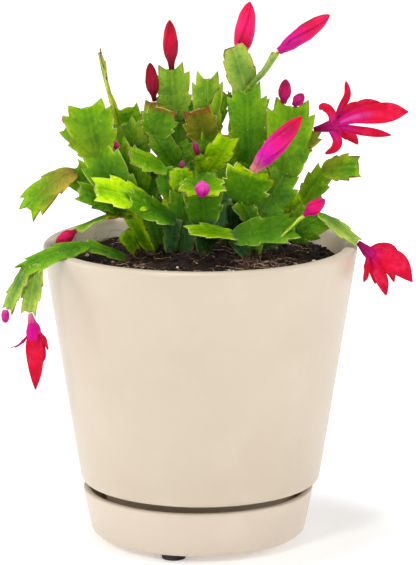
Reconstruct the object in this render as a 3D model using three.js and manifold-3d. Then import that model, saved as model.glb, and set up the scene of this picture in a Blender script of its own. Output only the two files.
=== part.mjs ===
// Potted christmas cactus. Millimetres, +Z up, the table is z = 0 and the plant is seen best from -Y.
// Every shape is drawn about the pot's axis and then moved by MIDDLE_X, because the plant leans out
// further on its right and the frame's origin lies under the middle of the whole.
import * as THREE from 'three';
import Module from 'manifold-3d';

// Driving sizes of the pot and its saucer
const RIM_R = 83.5;
const RIM_Z = 161.5;
const LIP_WALL = 7;
const POT_EDGE_R = 64.3;
const POT_EDGE_Z = 35.2;
const FOOT_R = 50;
const SAUCER_X = -1.15;
const SAUCER_RIM_R = 62;
const SAUCER_RIM_Z = 29.4;
const SAUCER_BASE_R = 57.9;
const SAUCER_WALL = 3.4;
const SAUCER_FLOOR_Z = 8.6;
const PAD_R = 6.35;
const PAD_H = 3.6;
const PAD_RING = 45.4;
const DRAIN_R = 7;
const GAP = 0.3;
const MIDDLE_X = 4.6;

// Driving sizes of the soil
const SOIL_EDGE_Z = 151.5;
const SOIL_RISE = 4.5;
const SOIL_FLOOR_Z = 16.4;
const STEM_R = 2.3;
const STEM_HOLE_R = 2.75;
const STEM_DEPTH = 10;

// Driving sizes of a leafy segment
const EDGE_T = 0.7;
const RIB_T = 2.5;
const TOP_T = 1.5;
const NECK_SINK = 2;
const NECK_SHARE = 0.16;
const NECK_T = 1.2;
const SMALLEST = 0.08;

const COLORS = {
  pot: 0xe3d6c6,
  saucer: 0xe0d2c2,
  rubber: 0x2c2a29,
  soil: 0x3a2a22,
  leaf: 0x5f9a1e,
  lime: 0x9ccb1c,
  dark: 0x3d7420,
  olive: 0x94953a,
  red: 0xd81440,
  crimson: 0xa80c34,
  pink: 0xe83078,
  magenta: 0xd820a0,
};

const wasm = await Module();
wasm.setup();

const UP = new THREE.Vector3(0, 0, 1);
const VIEWER = new THREE.Vector3(0, -1, 0);
const rad = THREE.MathUtils.degToRad;

// Solids from triangle lists, welded by position
function toSolid(geometry) {
  const flat = geometry.index ? geometry.toNonIndexed() : geometry;
  const p = flat.getAttribute('position');
  const seen = new Map();
  const verts = [];
  const tris = [];
  for (let i = 0; i < p.count; i += 1) {
    const xyz = [p.getX(i), p.getY(i), p.getZ(i)];
    const key = xyz.map((c) => Math.round(c * 1e4)).join(',');
    if (!seen.has(key)) {
      seen.set(key, verts.length / 3);
      verts.push(...xyz);
    }
    tris.push(seen.get(key));
  }
  const kept = [];
  for (let i = 0; i < tris.length; i += 3) {
    const [a, b, c] = tris.slice(i, i + 3);
    if (a !== b && b !== c && a !== c) kept.push(a, b, c);
  }
  return new wasm.Manifold(new wasm.Mesh({
    numProp: 3,
    vertProperties: new Float32Array(verts),
    triVerts: new Uint32Array(kept),
  }));
}

function toGeometry(solid) {
  const mesh = solid.getMesh();
  const geometry = new THREE.BufferGeometry();
  geometry.setAttribute('position', new THREE.BufferAttribute(new Float32Array(mesh.vertProperties), 3));
  geometry.setIndex(new THREE.BufferAttribute(new Uint32Array(mesh.triVerts), 1));
  geometry.computeVertexNormals();
  return geometry;
}

// Joined solids; pockets shut in between crossing blades are filled
function fuse(solids) {
  const joined = solids.reduce((all, one) => all.add(one)).simplify(SMALLEST);
  return joined.decompose().filter((shell) => shell.volume() > 0).reduce((all, one) => all.add(one));
}

function named(name, geometry, color, roughness = 0.6) {
  geometry.translate(-MIDDLE_X, 0, 0);
  const mesh = new THREE.Mesh(geometry, new THREE.MeshStandardMaterial({ color, roughness }));
  mesh.name = name;
  return mesh;
}

// A ring or disc turned about the pot's axis
function turned(profile, sides) {
  const points = profile.map(([r, z]) => new THREE.Vector2(r, z));
  const geometry = new THREE.LatheGeometry(points, sides);
  geometry.rotateX(Math.PI / 2);
  return geometry;
}

function post(radius, z0, z1, sides, x = 0, y = 0) {
  const geometry = new THREE.CylinderGeometry(radius, radius, z1 - z0, sides);
  geometry.rotateX(Math.PI / 2);
  geometry.translate(x, y, (z0 + z1) / 2);
  return geometry;
}

// The pot: straight taper, rounded lip, and a narrower foot that stands on the saucer's floor
function potGeometry() {
  const floorTop = SOIL_FLOOR_Z - GAP;
  const footZ = SAUCER_FLOOR_Z + GAP;
  const lipIn = RIM_R - LIP_WALL;
  const profile = [
    [0, footZ + 2],
    [FOOT_R - 9, footZ + 2],
    [FOOT_R - 8, footZ],
    [FOOT_R - 2, footZ],
    [FOOT_R, footZ + 2],
    [FOOT_R + 1.5, 32.2],
    [POT_EDGE_R - 3.8, 32.3],
    [POT_EDGE_R - 1.3, 33.3],
    [POT_EDGE_R, POT_EDGE_Z],
    [RIM_R, RIM_Z - 3.4],
    [RIM_R - 0.9, RIM_Z - 1.2],
    [RIM_R - 2.8, RIM_Z],
    [lipIn + 2, RIM_Z],
    [lipIn + 0.5, RIM_Z - 1],
    [lipIn, RIM_Z - 3.4],
    [POT_EDGE_R - LIP_WALL, POT_EDGE_Z + 6],
    [FOOT_R - 6, 31],
    [FOOT_R - 7, floorTop],
    [0, floorTop],
  ];
  const body = toSolid(turned(profile, 36));
  const drain = toSolid(post(DRAIN_R, footZ - 4, floorTop + 4, 12));
  return toGeometry(body.subtract(drain));
}

// The saucer: a shallow tray with the same taper as the pot, which stands a little off its middle
function saucerGeometry() {
  const under = PAD_H + GAP;
  const rimIn = SAUCER_RIM_R - SAUCER_WALL;
  const baseIn = SAUCER_BASE_R - SAUCER_WALL;
  const profile = [
    [0, under],
    [SAUCER_BASE_R - 5.6, under],
    [SAUCER_BASE_R - 2.6, under + 0.8],
    [SAUCER_BASE_R - 0.7, under + 2.6],
    [SAUCER_BASE_R + 0.3, under + 5.4],
    [SAUCER_RIM_R, SAUCER_RIM_Z - 1.4],
    [SAUCER_RIM_R - 1, SAUCER_RIM_Z],
    [rimIn + 1, SAUCER_RIM_Z],
    [rimIn, SAUCER_RIM_Z - 1.4],
    [baseIn, SAUCER_FLOOR_Z + 2.4],
    [baseIn - 2.6, SAUCER_FLOOR_Z],
    [0, SAUCER_FLOOR_Z],
  ];
  const geometry = turned(profile, 36);
  geometry.translate(SAUCER_X, 0, 0);
  return geometry;
}

// A small rubber pad with a softened lower edge
function padGeometry(x, y) {
  const profile = [[0, 0], [PAD_R - 0.8, 0], [PAD_R, 0.8], [PAD_R, PAD_H], [0, PAD_H]];
  const geometry = turned(profile, 12);
  geometry.translate(x, y, 0);
  return geometry;
}

function soilHeight(x, y) {
  const r = Math.hypot(x, y) / 75;
  const lumps = 0.7 * Math.sin(x * 0.21 + 1) * Math.cos(y * 0.17) + 0.5 * Math.sin(x * 0.43 - y * 0.37);
  return SOIL_EDGE_Z + SOIL_RISE * (1 - r * r) + lumps * (1 - r * 0.5);
}

// The soil: a mound that fills the pot, open where the stems stand
function soilGeometry(roots) {
  const sides = 24;
  const wallR = (z) => {
    const share = (z - POT_EDGE_Z - 6) / (RIM_Z - 3.4 - POT_EDGE_Z - 6);
    return POT_EDGE_R - LIP_WALL + share * (RIM_R - POT_EDGE_R);
  };
  const stations = [
    [0, SOIL_FLOOR_Z],
    [FOOT_R - 7.6, SOIL_FLOOR_Z],
    [FOOT_R - 6.6, 31.2],
    [wallR(POT_EDGE_Z + 6) - 0.8, POT_EDGE_Z + 6.4],
    [wallR(SOIL_EDGE_Z) - 0.75, SOIL_EDGE_Z],
  ];
  const top = [54, 34, 15, 0];
  const profile = stations.concat(top.map((r) => [r, SOIL_EDGE_Z + 1]));
  const geometry = turned(profile, sides);
  const p = geometry.getAttribute('position');
  for (let i = 0; i < p.count; i += 1) {
    if (p.getZ(i) > SOIL_EDGE_Z - 0.5) {
      const x = p.getX(i);
      const y = p.getY(i);
      const lift = Math.hypot(x, y) < 72 ? soilHeight(x, y) : SOIL_EDGE_Z;
      p.setZ(i, lift);
    }
  }
  let body = toSolid(geometry);
  for (const [x, y] of roots) {
    const z = soilHeight(x, y);
    body = body.subtract(toSolid(post(STEM_HOLE_R, z - STEM_DEPTH - 1, z + 8, 6, x, y)));
  }
  return toGeometry(body);
}

// One side of a segment from its neck to the middle of its top.
// Each pair is the share of the length and the share of the half width.
const SIDES = {
  horned: [[0.2, 0.78], [0.46, 1.01], [0.5, 0.86], [0.93, 1.03], [0.885, 0.74], [1.11, 0.7], [0.99, 0.44]],
  toothed: [[0.2, 0.78], [0.38, 1.01], [0.41, 0.87], [0.7, 1.03], [0.71, 0.82], [1.03, 0.76], [0.97, 0.36]],
  oval: [[0.22, 0.86], [0.46, 1.02], [0.5, 0.95], [0.77, 0.88], [0.79, 0.8], [0.99, 0.58], [1, 0.32]],
  round: [[0.16, 0.72], [0.45, 1], [0.5, 0.89], [0.84, 0.94], [0.88, 0.68], [0.99, 0.32]],
  stalk: [[0.3, 0.7], [0.48, 0.86], [0.52, 0.74], [0.9, 1], [0.97, 0.36]],
};
const RIB_STOPS = [0.34];

// A flat toothed segment: thin at its margin, thick along its midrib, gently arched and cupped
function segmentSolid(spec) {
  const { base, tip, width, turn = 0, bend = 0, cup = 0.05, shape = 'horned' } = spec;
  const from = new THREE.Vector3(...base);
  const to = new THREE.Vector3(...tip);
  const axis = to.clone().sub(from);
  const chord = axis.length();
  axis.normalize();
  const near = Math.abs(axis.dot(VIEWER)) > 0.93 ? UP : VIEWER;
  const normal = near.clone().addScaledVector(axis, -near.dot(axis)).normalize();
  normal.applyAxisAngle(axis, rad(turn));
  const across = normal.clone().cross(axis);
  const half = width / 2;
  const sink = NECK_SINK / chord;

  const side = SIDES[shape];
  const outline = [[-sink, NECK_SHARE]].concat(side);
  const loop = [];
  for (const [s, w] of outline) loop.push({ s, w, t: s < 0 ? NECK_T : EDGE_T });
  loop.push({ s: 1, w: 0, t: TOP_T });
  for (const s of RIB_STOPS) loop.push({ s, w: 0, t: RIB_T * (1 - 0.3 * s) });
  loop.push({ s: -sink, w: 0, t: NECK_T });

  const arc = rad(bend);
  const place = (s, w, lift) => {
    let along = s * chord;
    let rise = 0;
    let lean = 0;
    if (Math.abs(arc) > 0.01) {
      const r = chord / (2 * Math.sin(arc / 2));
      lean = arc * (s - 0.5);
      along = r * Math.sin(lean) + chord / 2;
      rise = r * (Math.cos(lean) - Math.cos(arc / 2));
    }
    const off = lift + cup * w * w * half;
    return from.clone()
      .addScaledVector(axis, along + off * Math.sin(lean))
      .addScaledVector(normal, rise + off * Math.cos(lean))
      .addScaledVector(across, w * half);
  };

  const flat = loop.map(({ s, w }) => new THREE.Vector2(w * half, s * chord));
  const faces = THREE.ShapeUtils.triangulateShape(flat, []);
  const out = [];
  const add = (...points) => points.forEach((v) => out.push(v.x, v.y, v.z));
  for (const hand of [1, -1]) {
    const front = loop.map(({ s, w, t }) => place(s, hand * w, t / 2));
    const back = loop.map(({ s, w, t }) => place(s, hand * w, -t / 2));
    for (const [a, b, c] of faces) {
      if (hand > 0) {
        add(front[a], front[b], front[c]);
        add(back[a], back[c], back[b]);
      } else {
        add(front[a], front[c], front[b]);
        add(back[a], back[b], back[c]);
      }
    }
    const rim = [loop.length - 1];
    for (let i = 0; i <= outline.length; i += 1) rim.push(i);
    for (let i = 0; i + 1 < rim.length; i += 1) {
      const [a, b] = hand > 0 ? [rim[i], rim[i + 1]] : [rim[i + 1], rim[i]];
      add(front[a], back[a], back[b]);
      add(front[a], back[b], front[b]);
    }
  }
  const geometry = new THREE.BufferGeometry();
  geometry.setAttribute('position', new THREE.BufferAttribute(new Float32Array(out), 3));
  const signed = toSolid(geometry);
  if (signed.volume() > 0) return signed;
  const flipped = [];
  for (let i = 0; i < out.length; i += 9) {
    flipped.push(...out.slice(i, i + 3), ...out.slice(i + 6, i + 9), ...out.slice(i + 3, i + 6));
  }
  geometry.setAttribute('position', new THREE.BufferAttribute(new Float32Array(flipped), 3));
  return toSolid(geometry);
}

// Growth plan of the leafy stems. A segment grows from an earlier joint, or from a point of its own,
// and ends in a named joint. Columns: from, joint, its place, width, turn, bend, shape.
const STEMS = {
  stem_left: {
    root: [-26, -4],
    segments: [
      ['root', 'a1', [-37, -10, 181], 15, -48, 8, 'stalk'],
      ['a1', 'a2', [-64, -17, 192], 14, 46, 6, 'toothed'],
      [[-38, -10, 177], 'a3', [-49, -14, 178], 8, 88, 8, 'stalk'],
      ['a3', 'a9', [-65, -20, 171.5], 12, 84, 14, 'stalk'],
      ['a1', 'a4', [-54, -14, 211], 21, 0, 0, 'horned'],
      ['a4', 'a5', [-59.4, -18, 236.4], 25, 2, 6, 'horned'],
      ['a4', 'a6', [-70, -3, 225], 16, -18, 8, 'toothed'],
      ['a1', 'a7', [-67.4, -4, 200], 18, 14, 10, 'toothed'],
      ['a7', 'a8', [-90, -14, 181.6], 19, 50, 52, 'horned'],
    ],
  },
  stem_left_inner: {
    root: [-21, 4],
    segments: [
      ['root', 'b1', [-28, 3, 180], 12, 20, 6, 'stalk'],
      ['b1', 'b2', [-34, -1, 201], 17, -20, 0, 'toothed'],
      ['b1', 'b3', [-44, -9, 213], 18, 4, 6, 'horned'],
    ],
  },
  stem_centre_flat: {
    root: [-16, -7],
    segments: [
      ['root', 'c1', [-15, -10, 176], 11, 25, 5, 'stalk'],
      ['c1', 'c2', [-36, -26, 187.5], 17.6, 60, 12, 'horned'],
      [[-28, -18, 186], 'c3', [-55, -27, 194], 21, 56, 10, 'toothed'],
    ],
  },
  stem_centre_lime: {
    root: [-14, 5],
    segments: [
      ['root', 'd1', [-15, 3, 186], 11, -20, 0, 'stalk'],
      ['d1', 'd2', [-19, -6, 202], 14, 20, -6, 'round'],
      ['d2', 'd3', [-37, -17, 211], 16, 66, 10, 'toothed'],
    ],
  },
  stem_front_short: {
    root: [-8, -3],
    segments: [
      ['root', 'e1', [-9, -6, 171], 13, 4, 4, 'stalk'],
      ['e1', 'e2', [-10, -7, 190], 15, -8, 0, 'toothed'],
      ['e2', 'e3', [-10, -10, 203], 13, 0, -8, 'round'],
    ],
  },
  stem_front: {
    root: [2, -9],
    segments: [
      ['root', 'f1', [2, -14, 174], 12, 0, 0, 'stalk'],
      ['f1', 'f2', [1, -19, 198], 20, 0, -6, 'toothed'],
      ['f2', 'f3', [1, -38, 193], 23, 0, 14, 'horned'],
      [[2, -10.4, 162], 'f4', [8.8, -14, 172.4], 13, 12, 0, 'stalk'],
    ],
  },
  stem_centre_tall: {
    root: [-9, 11],
    segments: [
      ['root', 'g1', [-11, 9, 181], 14, 20, 0, 'stalk'],
      ['g1', 'g2', [-12, 6, 201], 16, -12, 0, 'toothed'],
      ['g2', 'g3', [-13, 6, 214], 17, 0, 8, 'horned'],
      ['g3', 'g4', [-13, 6, 227], 13, 10, 0, 'round'],
      ['g4', 'g5', [-15.4, 8, 252.6], 18, 0, 4, 'horned'],
      ['g2', 'g6', [-24, -1, 220], 13, 0, 8, 'round'],
      ['g6', 'g7', [-19.4, -5, 234], 18, 0, 16, 'toothed'],
      ['g6', 'g8', [-23, 5, 235.5], 15, 8, 0, 'toothed'],
    ],
  },
  stem_left_back: {
    root: [-19, 13],
    segments: [
      ['root', 'h1', [-27, 12, 183], 13, 30, 0, 'stalk'],
      ['h1', 'h2', [-31, 9, 206], 16, -15, 5, 'toothed'],
      ['h2', 'h3', [-40, 0, 225], 15, 0, 6, 'horned'],
      ['h2', 'h4', [-39, 10, 232], 15, -8, 0, 'toothed'],
      ['h2', 'h5', [-42, 12, 219], 9, 84, 0, 'stalk'],
      ['h5', 'h6', [-48.6, 10, 241], 12, 80, 5, 'round'],
      ['h6', 'h7', [-53, 8, 261.5], 11, 88, -5, 'toothed'],
      ['h1', 'h8', [-20.4, 13, 198], 12, 14, 4, 'round'],
    ],
  },
  stem_middle: {
    root: [2, 6],
    segments: [
      ['root', 'i1', [3, 6, 181], 14, 20, 0, 'stalk'],
      ['i1', 'i2', [3, 3, 199], 15, -25, 0, 'toothed'],
      ['i2', 'i3', [3, 1, 216], 15, 10, 0, 'toothed'],
      ['i3', 'i4', [-2, -4, 233], 17.5, 0, 10, 'toothed'],
      ['i3', 'i5', [3.6, 5, 248], 16, 12, 4, 'horned'],
      ['i3', 'i6', [12, 6, 241], 13, 36, 8, 'toothed'],
      ['i2', 'i7', [15, -9, 220], 14, 14, 8, 'toothed'],
      ['i2', 'i8', [-1, -7, 209], 8, 0, 0, 'round'],
    ],
  },
  stem_right_tall: {
    root: [17, 7],
    segments: [
      ['root', 'j1', [21, 5, 181], 13, -20, 0, 'stalk'],
      ['j1', 'j2', [26, 4, 203], 14, 12, 0, 'toothed'],
      ['j2', 'j3', [24.4, 2, 242], 20, 0, 5, 'horned'],
      ['j3', 'j4', [17.2, -3, 266], 15.6, 4, 8, 'oval'],
      ['j3', 'j5', [21, 9, 255], 10, 20, -6, 'round'],
      ['j3', 'j6', [41, 2, 262.6], 13, 69, 10, 'stalk'],
      ['j2', 'j7', [19, 12, 240], 12, -20, 6, 'toothed'],
    ],
  },
  stem_right_fork: {
    root: [29, -8],
    segments: [
      ['root', 'k1', [29, -10, 173], 11, 0, 0, 'stalk'],
      ['k1', 'k2', [21, -15, 187], 12, 10, 0, 'stalk'],
      ['k2', 'k3', [27, -23, 203.5], 25, 0, -8, 'horned'],
      ['k1', 'k4', [44, -6, 198], 20, -5, 6, 'horned'],
      ['k4', 'k5', [48.2, 0, 234], 24, -3, 5, 'horned'],
      [[49, -3.2, 209.4], 'k6', [58.8, 7.4, 220.4], 14, -10, 0, 'horned'],
    ],
  },
  stem_right: {
    root: [37, 6],
    segments: [
      ['root', 'l1', [42, 4, 172], 11, 20, 0, 'stalk'],
      ['l1', 'l2', [55, 4, 182.5], 16, -10, 6, 'toothed'],
      ['l2', 'l3', [66.4, 4, 199.4], 13, -10, 4, 'toothed'],
      ['l3', 'l4', [84, 1, 201.6], 14.5, -30, 12, 'toothed'],
    ],
  },
  stem_front_droop: {
    root: [24, -15],
    segments: [
      ['root', 'm1', [18, -19, 168], 9, 10, 0, 'stalk'],
      ['m1', 'm2', [49, -28, 174], 17, -42, 14, 'horned'],
      ['m1', 'm3', [-6, -27, 172], 14, 72, 12, 'toothed'],
      [[43, -28, 170], 'm4', [54, -29, 181], 11, 80, -8, 'stalk'],
    ],
  },
  stem_right_low: {
    root: [30, 3],
    segments: [
      ['root', 'n1', [47, -3, 167], 9, -20, 6, 'stalk'],
      ['n1', 'n2', [64, -7, 177], 20, -12, 6, 'toothed'],
      ['n2', 'n3', [82.8, -12, 163.8], 12, -66, 12, 'toothed'],
    ],
  },
  stem_trailing: {
    root: [-39, -20],
    segments: [
      ['root', 'o1', [-60, -31, 166], 8, 50, 10, 'stalk'],
      ['o1', 'o2', [-89.6, -48, 157.4], 15, 64, 22, 'horned'],
      ['o2', 'o3', [-99.8, -50, 135.8], 10.5, 50, 8, 'toothed'],
      [[-84.2, -48.6, 157.4], 'o4', [-88.4, -53, 134.6], 10.5, 20, 10, 'toothed'],
    ],
  },
  stem_left_short: {
    root: [-34, -3],
    segments: [
      ['root', 'p1', [-41, -8, 168], 9, 30, 6, 'stalk'],
    ],
  },
  stem_back_left: {
    root: [-27, 22],
    segments: [
      ['root', 'q1', [-33, 28, 178], 14, 60, 0, 'stalk'],
      ['q1', 'q2', [-42, 38, 200], 19, 150, 6, 'toothed'],
      ['q2', 'q3', [-38, 46, 219], 17, 200, 6, 'horned'],
      ['q2', 'q4', [-56, 54, 187], 18, 120, 20, 'horned'],
      ['q4', 'q5', [-50, 74, 170], 18, 60, 26, 'toothed'],
    ],
  },
  stem_back: {
    root: [-5, 25],
    segments: [
      ['root', 'r1', [-6, 32, 180], 14, 170, 0, 'stalk'],
      ['r1', 'r2', [-8, 42, 204], 18, 190, 6, 'toothed'],
      ['r2', 'r3', [-14, 50, 229], 19, 175, 6, 'horned'],
      ['r2', 'r4', [6, 60, 196], 17, 60, 16, 'toothed'],
      ['r4', 'r5', [10, 71, 186], 17, 170, 20, 'horned'],
    ],
  },
  stem_back_right: {
    root: [12, 20],
    segments: [
      ['root', 's1', [14, 28, 180], 14, 160, 0, 'stalk'],
      ['s1', 's2', [20, 36, 206], 18, 180, 6, 'toothed'],
      ['s2', 's3', [30, 42, 231], 19, 190, 6, 'horned'],
      ['s2', 's4', [36, 54, 188], 18, 100, 18, 'toothed'],
      ['s4', 's5', [46, 74, 170], 17, 150, 22, 'horned'],
    ],
  },
  stem_back_far: {
    root: [30, 16],
    segments: [
      ['root', 't1', [34, 22, 177], 13, 120, 0, 'stalk'],
      ['t1', 't2', [40, 33, 196], 17, 160, 6, 'toothed'],
      ['t2', 't3', [45, 44, 221], 18, 170, 6, 'horned'],
    ],
  },
};

function stemSolid(plan) {
  const joints = new Map();
  const [x, y] = plan.root;
  const ground = soilHeight(x, y);
  joints.set('root', [x, y, ground + 1.6]);
  const parts = [toSolid(post(STEM_R, ground - STEM_DEPTH, ground + 1.2, 6, x, y))];
  for (const [start, joint, tip, width, turn, bend, shape] of plan.segments) {
    const base = Array.isArray(start) ? start : joints.get(start);
    parts.push(segmentSolid({ base, tip, width, turn, bend, shape }));
    joints.set(joint, tip);
  }
  return fuse(parts);
}

// A petal or sepal: a thin blade along a bent line, widest where the list of widths says
function bladeSolid(line, widths, face, thick = 0.7) {
  const points = line.map((p) => new THREE.Vector3(...p));
  const toward = new THREE.Vector3(...face).normalize();
  const rings = points.map((p, i) => {
    const before = points[Math.max(i - 1, 0)];
    const after = points[Math.min(i + 1, points.length - 1)];
    const dir = after.clone().sub(before).normalize();
    const out = toward.clone().addScaledVector(dir, -toward.dot(dir)).normalize();
    const wide = dir.clone().cross(out);
    const h = widths[i] / 2;
    const e = thick / 2;
    const corner = (w, t) => p.clone().addScaledVector(wide, w).addScaledVector(out, t);
    return [corner(-h, -e), corner(h, -e), corner(h, e), corner(0, e + h * 0.14), corner(-h, e)];
  });
  return loftSolid(rings);
}

// A closed solid through a row of rings with the same number of corners
function loftSolid(rings) {
  const out = [];
  const add = (...points) => points.forEach((v) => out.push(v.x, v.y, v.z));
  const count = rings[0].length;
  for (let k = 0; k + 1 < rings.length; k += 1) {
    for (let i = 0; i < count; i += 1) {
      const j = (i + 1) % count;
      add(rings[k][i], rings[k][j], rings[k + 1][j]);
      add(rings[k][i], rings[k + 1][j], rings[k + 1][i]);
    }
  }
  const last = rings[rings.length - 1];
  for (const [ring, sign] of [[rings[0], -1], [last, 1]]) {
    const mid = ring.reduce((sum, v) => sum.add(v), new THREE.Vector3()).divideScalar(count);
    for (let i = 0; i < count; i += 1) {
      const j = (i + 1) % count;
      if (sign > 0) add(mid, ring[i], ring[j]);
      else add(mid, ring[j], ring[i]);
    }
  }
  const geometry = new THREE.BufferGeometry();
  geometry.setAttribute('position', new THREE.BufferAttribute(new Float32Array(out), 3));
  const solid = toSolid(geometry);
  if (solid.volume() > 0) return solid;
  const flipped = [];
  for (let i = 0; i < out.length; i += 9) {
    flipped.push(...out.slice(i, i + 3), ...out.slice(i + 6, i + 9), ...out.slice(i + 3, i + 6));
  }
  geometry.setAttribute('position', new THREE.BufferAttribute(new Float32Array(flipped), 3));
  return toSolid(geometry);
}

// A closed bud: overlapping petals show as ridges, short sepals clasp its foot
function budSolid(base, tip, width, spec = {}) {
  const { stalk = 0.3, sepals = 3, twist = 20 } = spec;
  const from = new THREE.Vector3(...base);
  const to = new THREE.Vector3(...tip);
  const axis = to.clone().sub(from);
  const length = axis.length();
  axis.normalize();
  const near = Math.abs(axis.dot(VIEWER)) > 0.9 ? UP : VIEWER;
  const side = near.clone().cross(axis).normalize();
  const front = axis.clone().cross(side);
  const ridges = width < 4 ? 6 : 8;
  const profile = width < 4
    ? [[0, stalk], [0.4, 1], [0.8, 0.7], [1, 0.15]]
    : [[0, stalk], [0.14, stalk * 1.2], [0.32, 0.86], [0.52, 1], [0.8, 0.62], [1, 0.1]];
  const rings = profile.map(([s, share]) => {
    const ring = [];
    for (let i = 0; i < ridges; i += 1) {
      const angle = rad(360 * i / ridges + twist * s);
      const r = share * (width / 2) * (i % 2 ? 0.86 : 1);
      ring.push(from.clone().addScaledVector(axis, s * length)
        .addScaledVector(side, r * Math.cos(angle))
        .addScaledVector(front, r * Math.sin(angle)));
    }
    return ring;
  });
  const parts = [loftSolid(rings)];
  for (let i = 0; i < sepals; i += 1) {
    const angle = rad(360 * i / sepals + 30);
    const out = side.clone().multiplyScalar(Math.cos(angle)).addScaledVector(front, Math.sin(angle));
    const spot = (s, r) => from.clone().addScaledVector(axis, s * length)
      .addScaledVector(out, r * width / 2).toArray();
    const line = [spot(0.08, stalk * 0.5), spot(0.24, 0.84), spot(0.44, 1.3)];
    parts.push(bladeSolid(line, [width * 0.3, width * 0.44, width * 0.1], out.toArray()));
  }
  return fuse(parts);
}

// Buds: foot, tip, width, colour and how they clasp
const BUDS = {
  bud_left_tall: [[-15.2, 8, 253], [-16.2, 8, 279], 8, 'crimson', { stalk: 0.34, sepals: 0 }],
  bud_left_small: [[-24.3, 4.4, 236.4], [-26.6, 4, 257], 6.8, 'crimson', { stalk: 0.3, sepals: 0 }],
  bud_top: [[20.7, 9.2, 256], [26, 9, 288.5], 10.6, 'pink', { stalk: 0.3, sepals: 0 }],
  bud_top_right: [[41.4, 2, 263], [68, 2, 282.4], 9, 'pink', { stalk: 0.42, sepals: 2 }],
  bud_pair_tall: [[43.9, 0.6, 235.9], [45, 0, 248.8], 6.8, 'crimson', { stalk: 0.4, sepals: 0 }],
  bud_pair_short: [[49.3, -0.2, 234.6], [54.4, 0, 241], 5.8, 'crimson', { stalk: 0.44, sepals: 0 }],
  bud_front: [[27.7, -23.7, 204.1], [52.6, -30, 233.5], 10.6, 'magenta', { stalk: 0.44, sepals: 2 }],
  bud_centre_round: [[1, -38.5, 194], [1, -48, 201.6], 7.4, 'magenta', { stalk: 0.5, sepals: 0 }],
  bud_right_small: [[54.2, -29.1, 181.4], [65, -30, 190], 7.4, 'pink', { stalk: 0.3, sepals: 0 }],
  bud_left_low: [[-65.3, -20.2, 171.3], [-76, -23, 164.5], 6.6, 'magenta', { stalk: 0.3, sepals: 0 }],
  bud_back_left: [[-50, 74.5, 169.3], [-48, 80.6, 149], 7, 'crimson', { stalk: 0.34, sepals: 0 }],
  bud_back: [[10.2, 71.4, 185.5], [12, 78.4, 167], 8.4, 'pink', { stalk: 0.34, sepals: 2 }],
  bud_back_right: [[29.9, 43.1, 231.9], [19.4, 61.4, 237], 6, 'crimson', { stalk: 0.34, sepals: 0 }],
  budlet_left: [[-70.7, -3, 225.7], [-72, -4, 230], 3, 'magenta', { stalk: 0.6, sepals: 0 }],
  budlet_inner: [[-44.1, -9.1, 213.5], [-45, -11, 217], 3.4, 'magenta', { stalk: 0.6, sepals: 0 }],
  budlet_middle: [[-1.2, -7.1, 209.8], [-3.4, -8, 217], 3.2, 'crimson', { stalk: 0.5, sepals: 0 }],
  budlet_front: [[-9.9, -10.1, 203.4], [-9, -11, 207.4], 2.6, 'pink', { stalk: 0.6, sepals: 0 }],
  budlet_trailing: [[-100.8, -50.2, 135.1], [-100.8, -51, 128.4], 4.2, 'magenta', { stalk: 0.6, sepals: 0 }],
};

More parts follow.
